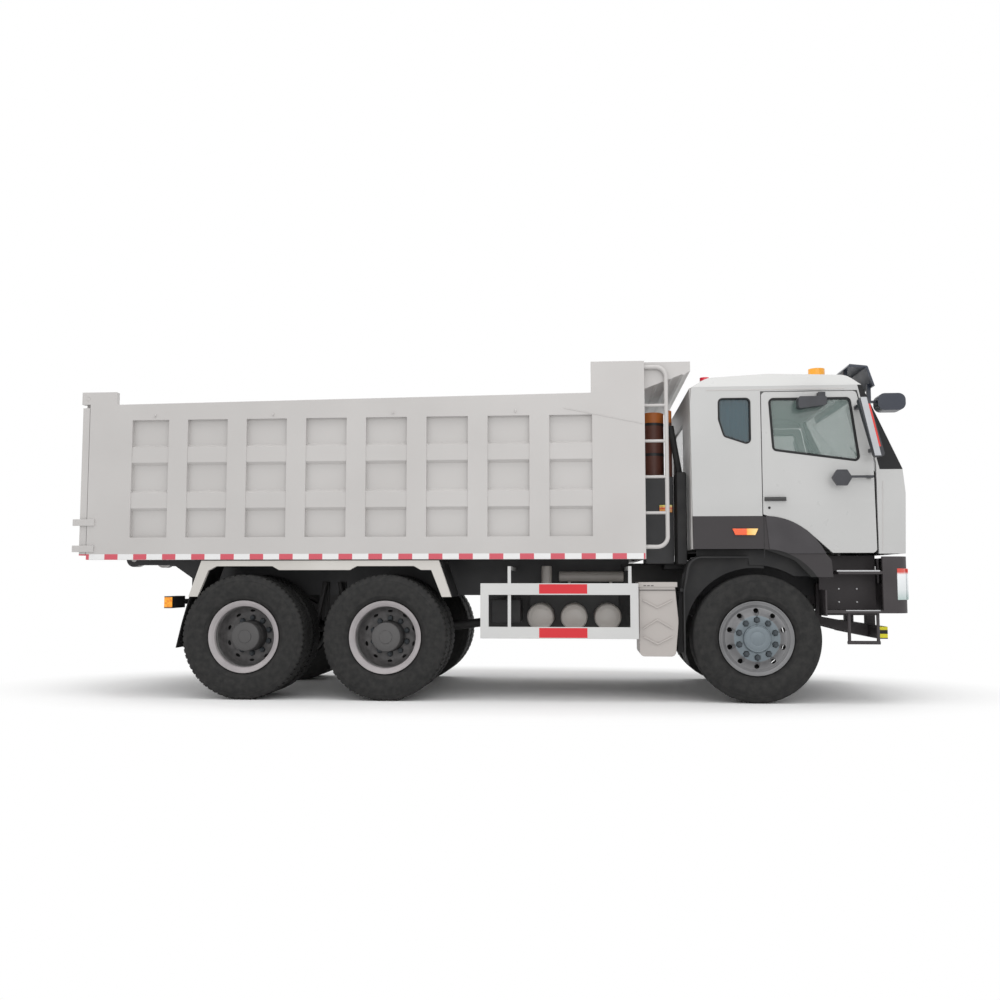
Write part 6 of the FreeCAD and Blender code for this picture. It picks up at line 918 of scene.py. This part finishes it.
tinted = Finish("tinted glass", (0.16, 0.22, 0.21), 0.04, Alpha=0.42, Coat_Weight=0.6)
along = tinted.axis("X")
tinted.feed("Base Color", tinted.blend(along < 2.5, (0.16, 0.23, 0.21), (0.008, 0.050, 0.070)))
# the quarter windows, behind 2.5 m, are darker than the rest
tinted.feed("Alpha", tinted.ramp(along * 0.25, (0.622, 0.66), (0.628, 0.40)))
tinted.feed("Roughness", tinted.grain(0.4) * 0.05 + 0.03)
seal_rubber = Finish("seal rubber", (0.015, 0.015, 0.016), 0.6, Specular_IOR_Level=0.3)
seal_rubber.feed("Roughness", seal_rubber.grain(0.01) * 0.2 + 0.5)


def seal(name, node, side, body, width=0.020, lift=0.019):
    """The rubber frame round the outer face of a pane."""
    piece = merged(node, name)
    pick(piece, lambda face: face.normal.y * side < 0.9 or face.center.y * side < 1.1)
    bpy.ops.mesh.delete(type="FACE")
    bpy.ops.mesh.select_all(action="SELECT")
    bpy.ops.mesh.inset(thickness=width)
    bpy.ops.mesh.delete(type="FACE")
    bpy.ops.mesh.select_all(action="SELECT")
    bpy.ops.mesh.extrude_region_move(TRANSFORM_OT_translate={"value": (0, side * lift, 0)})
    bpy.ops.mesh.select_all(action="SELECT")
    bpy.ops.mesh.normals_make_consistent(inside=False)
    deselect()
    rounded(piece, 0.003)
    return fit(piece, seal_rubber, body, "dark_plastic")


door_paint = painted("door white", (0.49, 0.49, 0.485), 0.30, 0.02, Coat_Weight=0.25)
sprayed = door_paint.mottled(0.9, (0.43, 0.43, 0.425), (0.46, 0.46, 0.455))
skirted = door_paint.blend(within(door_paint, *flare_edge), sprayed, charcoal)
# the handle, standing out past the panel, takes the same near black as the arch's painted shadow; here it is
# the handle's own black
on_handle = abs(door_paint.axis("Y")) > 1.1915
door_paint.feed("Base Color", door_paint.blend(on_handle, skirted, shadow))
mirror_paint = Finish("mirror housing", (0.03, 0.03, 0.035), 0.4)
along, up, outside = (mirror_paint.axis(name) for name in "XZY")
from_edge = along - 3.382 - (2.68 - up) * 0.217
on_face = (abs(outside) > 1.392) * (up > 2.19)
# the mirror's glass is painted a light mottled grey: a painted reflection
painted_reflection = mirror_paint.mottled(0.2, (0.38, 0.39, 0.41), (0.48, 0.49, 0.51))
housing = mirror_paint.mottled(0.1, (0.022, 0.023, 0.028), (0.032, 0.033, 0.040))
glass = from_edge.between(0.004, 0.058) * on_face
strip = from_edge.between(0.058, 0.074) * on_face * up.between(2.27, 2.65)
faced = mirror_paint.blend(glass, housing, painted_reflection)
mirror_paint.feed("Base Color", mirror_paint.blend(strip, faced, (0.60, 0.03, 0.02)))
outer_edge = arc(*flare_edge, range(90, 27, -4))
inner_edge = arc(*flare_hollow, range(71, 91, 4))
door_flare = sheet("door_flare", [*outer_edge, (3.100, 1.336), (2.765, 1.336), *inner_edge],
                   (-1.197, -1.1905), width=0.003)
fit(copied(door_flare, "door_flare_left", mirror=True), dark_plastic, "door_left", "dark_plastic")
fit(door_flare, dark_plastic, "door_right", "dark_plastic")
dressed("cab_glass", tinted, "cab", "window_glass", 0.002)
for side, sign in (("left", 1), ("right", -1)):
    dressed(f"door_{side}", door_paint, f"door_{side}", "body_white")
    dressed(f"door_glass_{side}", tinted, f"door_{side}", "window_glass", 0.002)
    dressed(f"door_mirror_{side}", mirror_paint, f"door_{side}", "dark_plastic", 0.006)
    seal(f"door_seal_{side}", f"door_glass_{side}", sign, f"door_{side}")
    seal(f"quarter_seal_{side}", "cab_glass", sign, "cab", 0.016)

hinge_x, hinge_y = pivots["door_right_open"][:2]
fittings = [bar("door_lock", (2.610, -1.186, 1.749), (2.610, -1.1935, 1.749), 0.012)]
for low, high in ((1.46, 1.54), (1.92, 2.00)):
    fittings.append(bar(f"door_hinge_{low}", (hinge_x, hinge_y, low), (hinge_x, hinge_y, high), 0.008))
paired(joined("door_fittings_right", fittings), guard_plastic, "door_right", "dark_plastic")

curtain_cloth = Finish("curtain cloth", (0.03, 0.17, 0.20), 0.9)
weave = curtain_cloth.grain(0.004, (1, 1, 0.2), 2)
woven = curtain_cloth.ramp(weave, (0.3, (0.010, 0.075, 0.095)), (0.7, (0.022, 0.13, 0.155)))
curtain_cloth.feed("Base Color", woven)
front = [(2.10 + 0.0125 * i, -1.130 + 0.012 * math.sin(i * 1.25)) for i in range(33)]
pleats = front + [(x, y + 0.004) for x, y in reversed(front)]
curtain = sheet("curtain", pleats, (2.30, 2.79), "Z", 0.0005)
paired(curtain, curtain_cloth, "cab", "seat_cloth")


# ---------------------------------------------------------------- visor, cabin, bumper and steps
# The moulded navy visor, the cabin's plastic dashboard and cloth seats, the charcoal bumper
# with its lamps and the moulded step wells with a hanging step under each.

navy = painted("visor navy", (0.018, 0.024, 0.040), 0.35)
dressed("sun_visor", navy, "cab", "dark_plastic", 0.005)
dressed("dashboard", dark_plastic, "cab", "dark_plastic", 0.008)
seat_cloth = Finish("seat cloth", (0.05, 0.055, 0.065), 0.9, Sheen_Weight=0.3)
threads = seat_cloth.grain(0.003, detail=2)
woven = seat_cloth.ramp(threads, (0.3, (0.035, 0.040, 0.050)), (0.7, (0.075, 0.080, 0.092)))
seat_cloth.feed("Base Color", woven)
seat_cloth.relief(threads, 0.0006, 0.7)


def cushion(name, size, middle, lean):
    """A foam pad under its cloth: faces crowned, corners drawn in, leaning back by an angle."""
    deselect()
    bpy.ops.mesh.primitive_cube_add(size=1, location=(0, 0, 0), scale=size)
    piece = bpy.context.object
    piece.name = name
    bpy.ops.object.transform_apply(location=True, rotation=True, scale=True)
    edit(piece)
    bpy.ops.mesh.subdivide(number_cuts=7)
    deselect()
    modify(piece, "CAST", factor=0.13, cast_type="SPHERE")
    modify(piece, "SUBSURF", levels=1)
    edit(piece)
    bpy.ops.transform.rotate(value=math.radians(lean), orient_axis="Y", center_override=(0, 0, 0))
    bpy.ops.transform.translate(value=middle)
    deselect()
    smooth(piece, 60)
    return piece


pedestals = [slab(f"seat_pedestal_{index}", (2.58, 3.04), (y - 0.21, y + 0.21), (1.440, 1.645), 0.02)
             for index, y in enumerate((-0.56, 0.56))]
fit(joined("seat_pedestals", pedestals), dark_plastic, "cab", "dark_plastic", "seats")
for side, y in (("right", -0.56), ("left", 0.56)):
    for name, size, middle, lean in (
        ("seat_cushion", (0.51, 0.47, 0.12), (2.810, y, 1.712), 0),
        ("seat_back", (0.11, 0.47, 0.50), (2.575, y, 2.030), -9),
        ("head_rest", (0.09, 0.27, 0.17), (2.515, y, 2.400), -9),
    ):
        pad = cushion(f"{name}_{side}", size, middle, lean)
        fit(pad, seat_cloth, "cab", "seat_cloth")

bumper_paint = Finish("bumper plastic", (0.042, 0.036, 0.038), 0.55, Specular_IOR_Level=0.35)
moulded = bumper_paint.mottled(0.3, (0.036, 0.031, 0.033), (0.050, 0.044, 0.046))
outside, up = bumper_paint.axis("Y"), bumper_paint.axis("Z")
slant = ((outside + up) * 14 + 40).fraction()
beam_end = abs(outside).between(0.79, 0.83) * (up < 0.70)
stripes = bumper_paint.blend(slant > 0.5, (0.012, 0.012, 0.012), (0.75, 0.68, 0.03))
bumper_paint.feed("Base Color", bumper_paint.blend(beam_end, moulded, stripes))
dressed("front_bumper", bumper_paint, "chassis", "dark_plastic", 0.002)
dressed("steps", bumper_paint, "chassis", "dark_plastic", 0.003)

lens_clear = Finish("headlamp lens", (0.72, 0.74, 0.76), 0.12, Coat_Weight=0.8)
up = lens_clear.axis("Z") + lens_clear.grain(0.05) * 0.01
# the stops count from 0.6 m above the road
lens = lens_clear.ramp(up - 0.6, (0.30, (0.30, 0.42, 0.40)), (0.42, (0.66, 0.69, 0.70)),
                       (0.555, (0.78, 0.80, 0.82)), (0.575, (0.62, 0.05, 0.03)))
lens_clear.feed("Base Color", lens)
lamp_ends = (0.924, 1.203)
headlamp = slab("headlamp", (3.812, 3.829), (-1.128, -0.804), lamp_ends, 0.008)
corner, degrees = (3.682, -1.040), range(-78, -19, 6)
lens_outline = arc(corner, (0.1535, 0.1535), degrees) + arc(corner, (0.148, 0.148), reversed(degrees))
wrapped = sheet("headlamp_corner", lens_outline, lamp_ends, "Z", 0.002)
paired(joined("headlamp_right", [headlamp, wrapped]), lens_clear, "chassis", "window_glass")
edge_steel = Finish("edge steel", (0.45, 0.45, 0.46), 0.4, Metallic=0.7)
edge_steel.feed("Roughness", edge_steel.grain(0.02) * 0.25 + 0.25)
tread_edge = (-1.194, -1.180)
edges = [slab("tread_edge_high", (3.190, 3.566), tread_edge, (1.174, 1.188), 0.003),
         slab("tread_edge_low", (3.260, 3.560), tread_edge, (0.824, 0.834), 0.003)]
for x in (3.26, 3.42):
    for z in (0.90, 1.02):
        edges.append(bar(f"step_screw_{x}_{z}", (x, -0.962, z), (x, -0.952, z), 0.008, 8))
paired(joined("step_edges_right", edges), edge_steel, "chassis", "wheel_silver")
